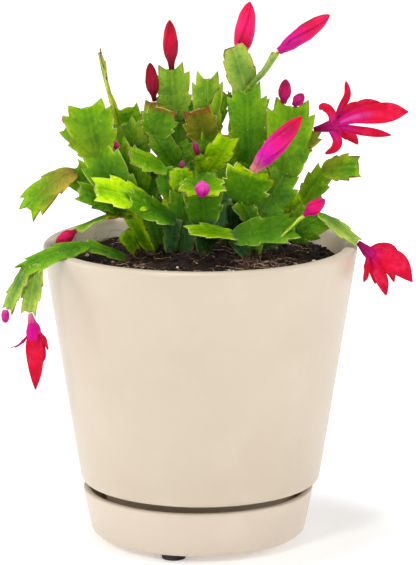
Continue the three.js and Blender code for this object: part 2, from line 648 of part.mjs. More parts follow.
// Flowers: a tube and petals in layers. A petal: its line, its widths, the way its inner face looks.
const FLOWERS = {
  flower_open: {
    color: 'red',
    tube: [[60.1, 7.9, 220.5], [64, 7.4, 221.2], [69, 6.4, 222.6], [74, 5, 224.6]],
    tubeR: [1.2, 2, 3, 2.6],
    petals: [
      [[[69, 4.6, 223], [69.8, 2, 228], [68, 0.4, 232], [64.6, 0, 233.8], [62.6, 0.6, 232.4]], [3, 4.2, 4.6, 4.2, 1.6],
        [0.2, -1, 0]],
      [[[71, 6.6, 225], [74.4, 8, 232], [77.8, 9, 239], [77, 9.4, 246]], [2.6, 3.6, 4, 1.4], [0.3, -0.9, 0]],
      [[[72, 6, 224], [80, 6.4, 229], [88, 6, 233], [97.4, 5, 233.6]], [3.4, 7, 8.4, 2.4], [0, -0.9, 0.3]],
      [[[72, 4, 224], [81, 2, 228], [92, 0.6, 230], [101, 0.4, 231], [109.6, 1, 231]],
        [3, 6.8, 10.4, 9.6, 1.6], [0.1, -0.9, 0.2]],
      [[[72, 4.6, 223], [82, 3.4, 221], [91, 2.4, 219.8], [100.8, 2, 218.4]], [2.8, 4.4, 4.8, 1.4], [0, -0.9, 0.4]],
      [[[69, 4.8, 221], [72.4, 1.6, 216], [71, 0.6, 211.6], [66, 1, 208.6]], [3, 5, 4.4, 1.4], [0.1, -1, 0]],
      [[[72, 6.8, 221.6], [74.6, 7.6, 219], [76.4, 8, 217], [77.4, 8.4, 215]], [3, 3.6, 2.8, 1.2], [0.2, -0.9, 0]],
      [[[71, 8.4, 224], [77, 12.6, 229], [83, 15.6, 231.6], [90, 17, 231]], [3, 6, 6, 1.6], [0, 0.9, 0.3]],
      [[[71, 8.6, 222], [76, 12.6, 219], [81, 15.4, 215], [84, 17, 211]], [3, 5.4, 5, 1.4], [0, 0.9, 0.1]],
    ],
  },
  flower_right: {
    color: 'red',
    tube: [[83.1, -12.1, 163.6], [86.6, -12.8, 160.3], [88.8, -13, 158.3], [91.8, -13.4, 156.3]],
    tubeR: [1.2, 2.4, 3, 2.6],
    petals: [
      [[[88.8, -13, 159.3], [94.4, -12, 160.5], [99.8, -11.6, 160.1], [105, -11.6, 156.5]], [3, 5.4, 5.4, 1.6],
        [-0.3, -0.8, 0.5]],
      [[[89.8, -14.4, 157.9], [96.8, -16.6, 156.5], [104.2, -17, 152.4], [111.8, -16.4, 143.1]], [3, 10, 12, 1.6],
        [-0.4, -0.85, 0.35]],
      [[[89.2, -14.6, 156.5], [93, -17.8, 151.5], [95.8, -18.6, 143.9], [97.8, -18, 136.2]], [3, 7.6, 7.6, 2.4],
        [-0.6, -0.8, 0]],
      [[[87.8, -14.4, 156.9], [87.8, -16.8, 152.3], [87.4, -17, 147.5], [86.2, -16.6, 142.9]], [2.6, 4.8, 4.4, 1.2],
        [-0.8, -0.6, 0]],
      [[[90.8, -12.6, 158.5], [98.4, -12.4, 157.9], [104.8, -12.4, 155.5], [109.4, -12.8, 151.9]], [3, 6, 5.6, 1.4],
        [-0.1, -0.5, 0.9]],
      [[[89.8, -11.6, 157.5], [95.8, -8.6, 153.9], [100.4, -6.8, 147.9], [102.8, -6, 140.9]], [3, 6.4, 6, 1.4], [0.4, 0.9, 0]],
      [[[88.4, -11.8, 157.3], [90.8, -8.4, 151.9], [92.4, -6.6, 145.9], [92.8, -6, 139.9]], [3, 5.6, 5, 1.2], [0, 0.9, 0]],
    ],
  },
  flower_hanging: {
    color: 'red',
    tube: [[-87.8, -53.1, 134.2], [-87, -53.6, 129.8], [-86, -53.8, 125.4], [-85.2, -54, 118.4]],
    tubeR: [1, 2.1, 3.5, 1.8],
    petals: [
      [[[-86.4, -55.4, 126.4], [-85.6, -57, 117.4], [-85.2, -56.6, 105.4], [-85.4, -55, 94.2]], [4, 9, 7, 1],
        [0, -1, 0.1]],
      [[[-86, -52.4, 126.4], [-83.6, -51.6, 117.4], [-82.2, -51.6, 111.4], [-82, -51.8, 107.4]], [4, 6.4, 4.6, 1],
        [0.3, 1, 0]],
      [[[-84.6, -54, 126], [-81.4, -54.6, 121.8], [-79.6, -54.8, 118.4], [-78.8, -55, 115.4]], [3, 4.4, 3.4, 1],
        [0.9, -0.4, 0]],
      [[[-87.6, -54.2, 125.4], [-90.6, -55.2, 121], [-92.8, -55.6, 118.8], [-95.8, -55.8, 116.8]], [3, 4, 3, 1],
        [-0.8, -0.5, 0]],
      [[[-87, -53.4, 124.4], [-88.6, -53, 117.4], [-88, -53, 110.4], [-87.4, -53.2, 104.4]], [3, 4.8, 3.8, 1], [-0.9, 0.2, 0]],
    ],
  },
};

function flowerSolid(plan) {
  const line = plan.tube.map((p) => new THREE.Vector3(...p));
  const rings = line.map((p, i) => {
    const dir = line[Math.min(i + 1, line.length - 1)].clone().sub(line[Math.max(i - 1, 0)]).normalize();
    const side = VIEWER.clone().cross(dir).normalize();
    const front = dir.clone().cross(side);
    const ring = [];
    for (let k = 0; k < 8; k += 1) {
      const angle = rad(45 * k);
      ring.push(p.clone().addScaledVector(side, plan.tubeR[i] * Math.cos(angle))
        .addScaledVector(front, plan.tubeR[i] * Math.sin(angle)));
    }
    return ring;
  });
  const parts = [loftSolid(rings)];
  for (const [path, widths, face] of plan.petals) parts.push(bladeSolid(path, widths, face));
  return fuse(parts);
}

const STEM_COLORS = {
  stem_left: 'lime',
  stem_left_inner: 'leaf',
  stem_centre_flat: 'lime',
  stem_centre_lime: 'lime',
  stem_front_short: 'leaf',
  stem_front: 'leaf',
  stem_centre_tall: 'leaf',
  stem_middle: 'leaf',
  stem_right_tall: 'leaf',
  stem_right_fork: 'leaf',
  stem_front_droop: 'leaf',
  stem_trailing: 'leaf',
  stem_left_short: 'leaf',
};

const group = new THREE.Group();
group.name = 'potted_christmas_cactus';
group.add(named('pot', potGeometry(), COLORS.pot, 0.35));
group.add(named('saucer', saucerGeometry(), COLORS.saucer, 0.35));
[[-106.5, 'pad_front'], [12, 'pad_right'], [132, 'pad_left']].forEach(([angle, name]) => {
  const x = SAUCER_X + PAD_RING * Math.cos(rad(angle));
  const y = PAD_RING * Math.sin(rad(angle));
  group.add(named(name, padGeometry(x, y), COLORS.rubber, 0.8));
});
const roots = Object.values(STEMS).map((plan) => plan.root);
group.add(named('soil', soilGeometry(roots), COLORS.soil, 0.95));
for (const [name, plan] of Object.entries(STEMS)) {
  group.add(named(name, toGeometry(stemSolid(plan)), COLORS[STEM_COLORS[name] ?? 'dark'], 0.5));
}
for (const [name, [base, tip, width, color, spec]] of Object.entries(BUDS)) {
  group.add(named(name, toGeometry(budSolid(base, tip, width, spec)), COLORS[color], 0.45));
}
for (const [name, plan] of Object.entries(FLOWERS)) {
  group.add(named(name, toGeometry(flowerSolid(plan)), COLORS[plan.color], 0.45));
}

export default group;
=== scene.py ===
# Potted christmas cactus: finer leaves, buds, flowers, soil and glazed ware over the CAD frame.
# The plan below is in millimetres about the pot's axis; the frame's origin lies MIDDLE to its right.
import bpy
import math
import numpy as np
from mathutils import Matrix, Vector, noise


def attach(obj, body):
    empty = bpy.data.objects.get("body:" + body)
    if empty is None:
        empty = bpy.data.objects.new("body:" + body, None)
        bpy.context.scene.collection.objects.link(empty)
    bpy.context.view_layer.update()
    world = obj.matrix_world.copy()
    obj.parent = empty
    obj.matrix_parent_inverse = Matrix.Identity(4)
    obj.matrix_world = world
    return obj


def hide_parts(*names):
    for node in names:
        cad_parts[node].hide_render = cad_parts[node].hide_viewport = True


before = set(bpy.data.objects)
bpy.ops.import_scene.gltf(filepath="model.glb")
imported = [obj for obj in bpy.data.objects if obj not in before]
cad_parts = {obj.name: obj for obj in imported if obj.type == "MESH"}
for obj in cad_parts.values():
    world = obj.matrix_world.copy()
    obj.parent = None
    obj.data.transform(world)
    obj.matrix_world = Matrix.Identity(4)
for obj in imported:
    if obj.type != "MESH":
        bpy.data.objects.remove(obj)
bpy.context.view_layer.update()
rng = np.random.default_rng(12)

MIDDLE = 4.6
SAUCER_X = -1.15
MM = 0.001
SOIL_LEVEL, SOIL_RISE, SOIL_RADIUS = 151.5, 4.5, 75

# Growth plan of the stems. A segment grows from an earlier joint, or from a point of its own, and
# ends in a named joint. Columns: from, joint, its place, width, turn, bend, shape.
STEMS = {
    "stem_left": ((-26, -4), [
        ("root", "a1", (-37, -10, 181), 15, -48, 8, "stalk"),
        ("a1", "a2", (-64, -17, 192), 14, 46, 6, "toothed"),
        ((-38, -10, 177), "a3", (-49, -14, 178), 8, 88, 8, "stalk"),
        ("a3", "a9", (-65, -20, 171.5), 12, 84, 14, "stalk"),
        ("a1", "a4", (-54, -14, 211), 21, 0, 0, "horned"),
        ("a4", "a5", (-59.4, -18, 236.4), 25, 2, 6, "horned"),
        ("a4", "a6", (-70, -3, 225), 16, -18, 8, "toothed"),
        ("a1", "a7", (-67.4, -4, 200), 18, 14, 10, "toothed"),
        ("a7", "a8", (-90, -14, 181.6), 19, 50, 52, "horned"),
    ]),
    "stem_left_inner": ((-21, 4), [
        ("root", "b1", (-28, 3, 180), 12, 20, 6, "stalk"),
        ("b1", "b2", (-34, -1, 201), 17, -20, 0, "toothed"),
        ("b1", "b3", (-44, -9, 213), 18, 4, 6, "horned"),
    ]),
    "stem_centre_flat": ((-16, -7), [
        ("root", "c1", (-15, -10, 176), 11, 25, 5, "stalk"),
        ("c1", "c2", (-36, -26, 187.5), 17.6, 60, 12, "horned"),
        ((-28, -18, 186), "c3", (-55, -27, 194), 21, 56, 10, "toothed"),
    ]),
    "stem_centre_lime": ((-14, 5), [
        ("root", "d1", (-15, 3, 186), 11, -20, 0, "stalk"),
        ("d1", "d2", (-19, -6, 202), 14, 20, -6, "round"),
        ("d2", "d3", (-37, -17, 211), 16, 66, 10, "toothed"),
    ]),
    "stem_front_short": ((-8, -3), [
        ("root", "e1", (-9, -6, 171), 13, 4, 4, "stalk"),
        ("e1", "e2", (-10, -7, 190), 15, -8, 0, "toothed"),
        ("e2", "e3", (-10, -10, 203), 13, 0, -8, "round"),
    ]),
    "stem_front": ((2, -9), [
        ("root", "f1", (2, -14, 174), 12, 0, 0, "stalk"),
        ("f1", "f2", (1, -19, 198), 20, 0, -6, "toothed"),
        ("f2", "f3", (1, -38, 193), 23, 0, 14, "horned"),
        ((2, -10.4, 162), "f4", (8.8, -14, 172.4), 13, 12, 0, "stalk"),
    ]),
    "stem_centre_tall": ((-9, 11), [
        ("root", "g1", (-11, 9, 181), 14, 20, 0, "stalk"),
        ("g1", "g2", (-12, 6, 201), 16, -12, 0, "toothed"),
        ("g2", "g3", (-13, 6, 214), 17, 0, 8, "horned"),
        ("g3", "g4", (-13, 6, 227), 13, 10, 0, "round"),
        ("g4", "g5", (-15.4, 8, 252.6), 18, 0, 4, "horned"),
        ("g2", "g6", (-24, -1, 220), 13, 0, 8, "round"),
        ("g6", "g7", (-19.4, -5, 234), 18, 0, 16, "toothed"),
        ("g6", "g8", (-23, 5, 235.5), 15, 8, 0, "toothed"),
    ]),
    "stem_left_back": ((-19, 13), [
        ("root", "h1", (-27, 12, 183), 13, 30, 0, "stalk"),
        ("h1", "h2", (-31, 9, 206), 16, -15, 5, "toothed"),
        ("h2", "h3", (-40, 0, 225), 15, 0, 6, "horned"),
        ("h2", "h4", (-39, 10, 232), 15, -8, 0, "toothed"),
        ("h2", "h5", (-42, 12, 219), 9, 84, 0, "stalk"),
        ("h5", "h6", (-48.6, 10, 241), 12, 80, 5, "round"),
        ("h6", "h7", (-53, 8, 261.5), 11, 88, -5, "toothed"),
        ("h1", "h8", (-20.4, 13, 198), 12, 14, 4, "round"),
    ]),
    "stem_middle": ((2, 6), [
        ("root", "i1", (3, 6, 181), 14, 20, 0, "stalk"),
        ("i1", "i2", (3, 3, 199), 15, -25, 0, "toothed"),
        ("i2", "i3", (3, 1, 216), 15, 10, 0, "toothed"),
        ("i3", "i4", (-2, -4, 233), 17.5, 0, 10, "toothed"),
        ("i3", "i5", (3.6, 5, 248), 16, 12, 4, "horned"),
        ("i3", "i6", (12, 6, 241), 13, 36, 8, "toothed"),
        ("i2", "i7", (15, -9, 220), 14, 14, 8, "toothed"),
        ("i2", "i8", (-1, -7, 209), 8, 0, 0, "round"),
    ]),
    "stem_right_tall": ((17, 7), [
        ("root", "j1", (21, 5, 181), 13, -20, 0, "stalk"),
        ("j1", "j2", (26, 4, 203), 14, 12, 0, "toothed"),
        ("j2", "j3", (24.4, 2, 242), 20, 0, 5, "horned"),
        ("j3", "j4", (17.2, -3, 266), 15.6, 4, 8, "oval"),
        ("j3", "j5", (21, 9, 255), 10, 20, -6, "round"),
        ("j3", "j6", (41, 2, 262.6), 13, 69, 10, "stalk"),
        ("j2", "j7", (19, 12, 240), 12, -20, 6, "toothed"),
    ]),
    "stem_right_fork": ((29, -8), [
        ("root", "k1", (29, -10, 173), 11, 0, 0, "stalk"),
        ("k1", "k2", (21, -15, 187), 12, 10, 0, "stalk"),
        ("k2", "k3", (27, -23, 203.5), 25, 0, -8, "horned"),
        ("k1", "k4", (44, -6, 198), 20, -5, 6, "horned"),
        ("k4", "k5", (48.2, 0, 234), 24, -3, 5, "horned"),
        ((49, -3.2, 209.4), "k6", (58.8, 7.4, 220.4), 14, -10, 0, "horned"),
    ]),
    "stem_right": ((37, 6), [
        ("root", "l1", (42, 4, 172), 11, 20, 0, "stalk"),
        ("l1", "l2", (55, 4, 182.5), 16, -10, 6, "toothed"),
        ("l2", "l3", (66.4, 4, 199.4), 13, -10, 4, "toothed"),
        ("l3", "l4", (84, 1, 201.6), 14.5, -30, 12, "toothed"),
    ]),
    "stem_front_droop": ((24, -15), [
        ("root", "m1", (18, -19, 168), 9, 10, 0, "stalk"),
        ("m1", "m2", (49, -28, 174), 17, -42, 14, "horned"),
        ("m1", "m3", (-6, -27, 172), 14, 72, 12, "toothed"),
        ((43, -28, 170), "m4", (54, -29, 181), 11, 80, -8, "stalk"),
    ]),
    "stem_right_low": ((30, 3), [
        ("root", "n1", (47, -3, 167), 9, -20, 6, "stalk"),
        ("n1", "n2", (64, -7, 177), 20, -12, 6, "toothed"),
        ("n2", "n3", (82.8, -12, 163.8), 12, -66, 12, "toothed"),
    ]),
    "stem_trailing": ((-39, -20), [
        ("root", "o1", (-60, -31, 166), 8, 50, 10, "stalk"),
        ("o1", "o2", (-89.6, -48, 157.4), 15, 64, 22, "horned"),
        ("o2", "o3", (-99.8, -50, 135.8), 10.5, 50, 8, "toothed"),
        ((-84.2, -48.6, 157.4), "o4", (-88.4, -53, 134.6), 10.5, 20, 10, "toothed"),
    ]),
    "stem_left_short": ((-34, -3), [
        ("root", "p1", (-41, -8, 168), 9, 30, 6, "stalk"),
    ]),
    "stem_back_left": ((-27, 22), [
        ("root", "q1", (-33, 28, 178), 14, 60, 0, "stalk"),
        ("q1", "q2", (-42, 38, 200), 19, 150, 6, "toothed"),
        ("q2", "q3", (-38, 46, 219), 17, 200, 6, "horned"),
        ("q2", "q4", (-56, 54, 187), 18, 120, 20, "horned"),
        ("q4", "q5", (-50, 74, 170), 18, 60, 26, "toothed"),
    ]),
    "stem_back": ((-5, 25), [
        ("root", "r1", (-6, 32, 180), 14, 170, 0, "stalk"),
        ("r1", "r2", (-8, 42, 204), 18, 190, 6, "toothed"),
        ("r2", "r3", (-14, 50, 229), 19, 175, 6, "horned"),
        ("r2", "r4", (6, 60, 196), 17, 60, 16, "toothed"),
        ("r4", "r5", (10, 71, 186), 17, 170, 20, "horned"),
    ]),
    "stem_back_right": ((12, 20), [
        ("root", "s1", (14, 28, 180), 14, 160, 0, "stalk"),
        ("s1", "s2", (20, 36, 206), 18, 180, 6, "toothed"),
        ("s2", "s3", (30, 42, 231), 19, 190, 6, "horned"),
        ("s2", "s4", (36, 54, 188), 18, 100, 18, "toothed"),
        ("s4", "s5", (46, 74, 170), 17, 150, 22, "horned"),
    ]),
    "stem_back_far": ((30, 16), [
        ("root", "t1", (34, 22, 177), 13, 120, 0, "stalk"),
        ("t1", "t2", (40, 33, 196), 17, 160, 6, "toothed"),
        ("t2", "t3", (45, 44, 221), 18, 170, 6, "horned"),
    ]),
}

BUDS = {
    "bud_left_tall": ((-15.2, 8, 253), (-16.2, 8, 279), 8, "crimson", 0.34, 0),
    "bud_left_small": ((-24.3, 4.4, 236.4), (-26.6, 4, 257), 6.8, "crimson", 0.3, 0),
    "bud_top": ((20.7, 9.2, 256), (26, 9, 288.5), 10.6, "pink", 0.3, 0),
    "bud_top_right": ((41.4, 2, 263), (68, 2, 282.4), 9, "pink", 0.42, 2),
    "bud_pair_tall": ((43.9, 0.6, 235.9), (45, 0, 248.8), 6.8, "crimson", 0.4, 0),
    "bud_pair_short": ((49.3, -0.2, 234.6), (54.4, 0, 241), 5.8, "crimson", 0.44, 0),
    "bud_front": ((27.7, -23.7, 204.1), (52.6, -30, 233.5), 10.6, "magenta", 0.44, 2),
    "bud_centre_round": ((1, -38.5, 194), (1, -48, 201.6), 7.4, "magenta", 0.5, 0),
    "bud_right_small": ((54.2, -29.1, 181.4), (65, -30, 190), 7.4, "pink", 0.3, 0),
    "bud_left_low": ((-65.3, -20.2, 171.3), (-76, -23, 164.5), 6.6, "magenta", 0.3, 0),
    "bud_back_left": ((-50, 74.5, 169.3), (-48, 80.6, 149), 7, "crimson", 0.34, 0),
    "bud_back": ((10.2, 71.4, 185.5), (12, 78.4, 167), 8.4, "pink", 0.34, 2),
    "bud_back_right": ((29.9, 43.1, 231.9), (19.4, 61.4, 237), 6, "crimson", 0.34, 0),
    "budlet_left": ((-70.7, -3, 225.7), (-72, -4, 230), 3, "magenta", 0.6, 0),
    "budlet_inner": ((-44.1, -9.1, 213.5), (-45, -11, 217), 3.4, "magenta", 0.6, 0),
    "budlet_middle": ((-1.2, -7.1, 209.8), (-3.4, -8, 217), 3.2, "crimson", 0.5, 0),
    "budlet_front": ((-9.9, -10.1, 203.4), (-9, -11, 207.4), 2.6, "pink", 0.6, 0),
    "budlet_trailing": ((-100.8, -50.2, 135.1), (-100.8, -51, 128.4), 4.2, "magenta", 0.6, 0),
}

FLOWERS = {
    "flower_open": {
        "tube": [(60.1, 7.9, 220.5), (64, 7.4, 221.2), (69, 6.4, 222.6), (74, 5, 224.6)],
        "tube_r": (1.2, 2, 3, 2.6),
        "petals": [
            ([(69, 4.6, 223), (69.8, 2, 228), (68, 0.4, 232), (64.6, 0, 233.8), (62.6, 0.6, 232.4)],
             (3, 4.2, 4.6, 4.2, 1.6), (0.2, -1, 0)),
            ([(71, 6.6, 225), (74.4, 8, 232), (77.8, 9, 239), (77, 9.4, 246)],
             (2.6, 3.6, 4, 1.4), (0.3, -0.9, 0)),
            ([(72, 6, 224), (80, 6.4, 229), (88, 6, 233), (97.4, 5, 233.6)],
             (3.4, 7, 8.4, 2.4), (0, -0.9, 0.3)),
            ([(72, 4, 224), (81, 2, 228), (92, 0.6, 230), (101, 0.4, 231), (109.6, 1, 231)],
             (3, 6.8, 10.4, 9.6, 1.6), (0.1, -0.9, 0.2)),
            ([(72, 4.6, 223), (82, 3.4, 221), (91, 2.4, 219.8), (100.8, 2, 218.4)],
             (2.8, 4.4, 4.8, 1.4), (0, -0.9, 0.4)),
            ([(69, 4.8, 221), (72.4, 1.6, 216), (71, 0.6, 211.6), (66, 1, 208.6)],
             (3, 5, 4.4, 1.4), (0.1, -1, 0)),
            ([(72, 6.8, 221.6), (74.6, 7.6, 219), (76.4, 8, 217), (77.4, 8.4, 215)],
             (3, 3.6, 2.8, 1.2), (0.2, -0.9, 0)),
            ([(71, 8.4, 224), (77, 12.6, 229), (83, 15.6, 231.6), (90, 17, 231)],
             (3, 6, 6, 1.6), (0, 0.9, 0.3)),
            ([(71, 8.6, 222), (76, 12.6, 219), (81, 15.4, 215), (84, 17, 211)],
             (3, 5.4, 5, 1.4), (0, 0.9, 0.1)),
        ],
    },
    "flower_right": {
        "tube": [(83.1, -12.1, 163.6), (86.6, -12.8, 160.3), (88.8, -13, 158.3), (91.8, -13.4, 156.3)],
        "tube_r": (1.2, 2.4, 3, 2.6),
        "petals": [
            ([(88.8, -13, 159.3), (94.4, -12, 160.5), (99.8, -11.6, 160.1), (105, -11.6, 156.5)],
             (3, 5.4, 5.4, 1.6), (-0.3, -0.8, 0.5)),
            ([(89.8, -14.4, 157.9), (96.8, -16.6, 156.5), (104.2, -17, 152.4), (111.8, -16.4, 143.1)],
             (3, 10, 12, 1.6), (-0.4, -0.85, 0.35)),
            ([(89.2, -14.6, 156.5), (93, -17.8, 151.5), (95.8, -18.6, 143.9), (97.8, -18, 136.2)],
             (3, 7.6, 7.6, 2.4), (-0.6, -0.8, 0)),
            ([(87.8, -14.4, 156.9), (87.8, -16.8, 152.3), (87.4, -17, 147.5), (86.2, -16.6, 142.9)],
             (2.6, 4.8, 4.4, 1.2), (-0.8, -0.6, 0)),
            ([(90.8, -12.6, 158.5), (98.4, -12.4, 157.9), (104.8, -12.4, 155.5), (109.4, -12.8, 151.9)],
             (3, 6, 5.6, 1.4), (-0.1, -0.5, 0.9)),
            ([(89.8, -11.6, 157.5), (95.8, -8.6, 153.9), (100.4, -6.8, 147.9), (102.8, -6, 140.9)],
             (3, 6.4, 6, 1.4), (0.4, 0.9, 0)),
            ([(88.4, -11.8, 157.3), (90.8, -8.4, 151.9), (92.4, -6.6, 145.9), (92.8, -6, 139.9)],
             (3, 5.6, 5, 1.2), (0, 0.9, 0)),
        ],
    },
    "flower_hanging": {
        "tube": [(-87.8, -53.1, 134.2), (-87, -53.6, 129.8), (-86, -53.8, 125.4), (-85.2, -54, 118.4)],
        "tube_r": (1, 2.1, 3.5, 1.8),
        "petals": [
            ([(-86.4, -55.4, 126.4), (-85.6, -57, 117.4), (-85.2, -56.6, 105.4), (-85.4, -55, 94.2)],
             (4, 9, 7, 1), (0, -1, 0.1)),
            ([(-86, -52.4, 126.4), (-83.6, -51.6, 117.4), (-82.2, -51.6, 111.4), (-82, -51.8, 107.4)],
             (4, 6.4, 4.6, 1), (0.3, 1, 0)),
            ([(-84.6, -54, 126), (-81.4, -54.6, 121.8), (-79.6, -54.8, 118.4), (-78.8, -55, 115.4)],
             (3, 4.4, 3.4, 1), (0.9, -0.4, 0)),
            ([(-87.6, -54.2, 125.4), (-90.6, -55.2, 121), (-92.8, -55.6, 118.8), (-95.8, -55.8, 116.8)],
             (3, 4, 3, 1), (-0.8, -0.5, 0)),
            ([(-87, -53.4, 124.4), (-88.6, -53, 117.4), (-88, -53, 110.4), (-87.4, -53.2, 104.4)],
             (3, 4.8, 3.8, 1), (-0.9, 0.2, 0)),
        ],
    },
}

# One side of a segment from its neck to the middle of its top: share of length, share of half width
SIDES = {
    "horned": [(0.2, 0.8), (0.46, 1.03), (0.49, 0.86), (0.935, 1.05), (0.88, 0.74), (1.125, 0.7),
               (1.0, 0.46)],
    "toothed": [(0.2, 0.8), (0.385, 1.03), (0.405, 0.86), (0.71, 1.06), (0.7, 0.82), (1.05, 0.78),
                (0.975, 0.38)],
    "oval": [(0.23, 0.88), (0.46, 1.03), (0.49, 0.95), (0.775, 0.9), (0.78, 0.81), (1.0, 0.6),
             (1.0, 0.32)],
    "round": [(0.16, 0.74), (0.45, 1), (0.49, 0.9), (0.84, 0.95), (0.88, 0.7), (0.99, 0.34)],
    "stalk": [(0.3, 0.7), (0.49, 0.88), (0.52, 0.75), (0.92, 1), (0.96, 0.36)],
}
# Half width of a segment's neck as a share, how deep in mm the neck sinks into the segment below, and
# how much a blade is cupped across
NECK = 0.16
SINK = 2.0
CUP = 0.05

# Greens and browns of the plant, and the segments that wear each. The greens are partly the segments' own
# colour and partly painted light and shade: sun and the light greens for lit segments, shade, dark and deep
# for shaded inner ones
GREENS = {
    "sun": (198, 240, 0),
    "dry": (206, 220, 50),
    "pale": (156, 184, 72),
    "grey": (134, 172, 40),
    "lime": (124, 171, 0),
    "olive": (128, 138, 28),
    "spring": (164, 228, 62),
    "green": (108, 162, 10),
    "leaf": (100, 150, 16),
    "deep": (69, 124, 7),
    "shade": (112, 156, 82),
    "dark": (74, 116, 60),
    "ruddy": (116, 116, 4),
    "rust": (136, 70, 20),
    "peach": (206, 132, 62),
    "bark": (84, 66, 40),
    "bristle": (220, 214, 170),
}
WORN = {
    "sun": "c3 m4 i8 i7 a1 e3 m3 p1 l2 a3 h8 d1",
    "dry": "h6 h7",
    "pale": "o4 n3 o3 j4 j6",
    "grey": "h3 g5 i5 a9",
    "lime": "a7 a8 b3 l4 d3 a6 h4 a5 i6 q3 s2 l3 k5 f3 g8",
    "olive": "k6",
    "spring": "d2 b1 i2 k1",
    "green": "f2 k3 m2 o2 n2 j3 i3 e2 c2",
    "leaf": "a4 k4 o1 g6 g7 g4 k2 a2 j2 g3 h2",
    "deep": "r3 b2 r2 j7",
    "ruddy": "i4",
    "shade": "c1 e1 m1 s1 h1 n1 g1 g2 l1",
    "dark": "f4 f1 j1 i1 q1 r1 t1 j5",
}
TONE_OF = {joint: tone for tone, joints in WORN.items() for joint in joints.split()}
# How red a segment's edge and teeth are, and how cream its edge is; the cream is partly the edge's own
# colour and partly a painted highlight
FLUSH_OF = {"a5": 0.5, "a8": 1, "i4": 1, "g5": 0.45, "g7": 0.9, "g8": 0.9, "g6": 0.7, "j4": 0.6, "k3": 0.5,
            "k5": 0.5, "k6": 0.6, "l4": 1, "i7": 0.5, "i5": 0.45, "i6": 0.6, "c3": 0.4, "d3": 0.6, "f3": 0.5,
            "h7": 0.6, "a6": 0.4, "o3": 0.5, "o4": 0.5, "k2": 0.3, "j3": 0.2, "n3": 0.3, "h4": 0.3}
CREAM_AND_HIGHLIGHT_OF = {"a4": 0.6, "g7": 0.6, "d1": 0.5, "c3": 0.9, "c2": 0.7, "b3": 0.8, "k3": 1, "i7": 0.9, "m3": 1,
            "m4": 1, "j7": 0.5, "f3": 0.8, "e3": 0.5, "a5": 0.4, "f2": 0.6, "m2": 0.6, "n3": 0.5, "k4": 0.5,
            "g3": 0.4, "k2": 0.6, "e2": 0.5, "j2": 0.4, "f4": 0.5, "i3": 0.4, "k6": 0.4, "a9": 0.5,
            "o1": 0.4}
# Peach near a segment's foot, and a top edge of another green or of rust; a sun top is painted light on a
# top turned to the light, a rust top the segment's own colour
PEACH_OF = {"a8": 0.55, "a5": 0.1, "l4": 0.15}
TOP_LIGHT_OR_RUST = {"k3": "sun", "i7": "sun", "f3": "sun", "a4": "lime", "k2": "lime", "g7": "rust", "i4": "rust",
          "g8": "rust"}
# The one segment whose blade isn't folded along its rib, so that it lies closer to the leaf over it
UNFOLDED = "c2"


def linear(rgb):
    """A colour from 0..255 as the eye reads it, turned into light."""
    return tuple(((c / 255 + 0.055) / 1.055) ** 2.4 if c > 10 else c / 3294.6 for c in rgb)


def opaque(rgb):
    """The same with full cover, as a vertex colour needs it."""
    return (*linear(rgb), 1)


def soil_height(x, y):
    """The mound's height over a place: SOIL_RISE higher in the middle than at the pot's wall."""
    r = math.hypot(x, y) / SOIL_RADIUS
    lumps = 0.7 * math.sin(x * 0.21 + 1) * math.cos(y * 0.17) + 0.5 * math.sin(x * 0.43 - y * 0.37)
    return SOIL_LEVEL + SOIL_RISE * (1 - r * r) + lumps * (1 - r * 0.5)


def unit(v):
    """A direction, or rows of them, at length 1."""
    return v / (np.linalg.norm(v, axis=-1, keepdims=True) + 1e-12)


# Shader maths: a socket that adds its own Math nodes
class Wire:
    def __init__(self, finish, socket):
        self.finish, self.socket = finish, socket

    def maths(self, operation, *values):
        return self.finish.node("ShaderNodeMath", {"operation": operation}, dict(enumerate(values)))

    def __add__(self, other):
        return self.maths("ADD", self, other)

    def __radd__(self, other):
        return self.maths("ADD", other, self)

    def __sub__(self, other):
        return self.maths("SUBTRACT", self, other)

    def __rsub__(self, other):
        return self.maths("SUBTRACT", other, self)

    def __mul__(self, other):
        return self.maths("MULTIPLY", self, other)

    def __pow__(self, other):
        return self.maths("POWER", self, other)

    def __abs__(self):
        return self.maths("ABSOLUTE", self)

    def fraction(self):
        return self.maths("FRACT", self)

    def between(self, low, high):
        """0 under low, 1 over high, soft between; the other way round if low is over high."""
        settings = {"interpolation_type": "SMOOTHSTEP"}
        if low < high:
            return self.finish.node("ShaderNodeMapRange", settings, {0: self, 1: low, 2: high})
        return 1 - self.finish.node("ShaderNodeMapRange", settings, {0: self, 1: high, 2: low})


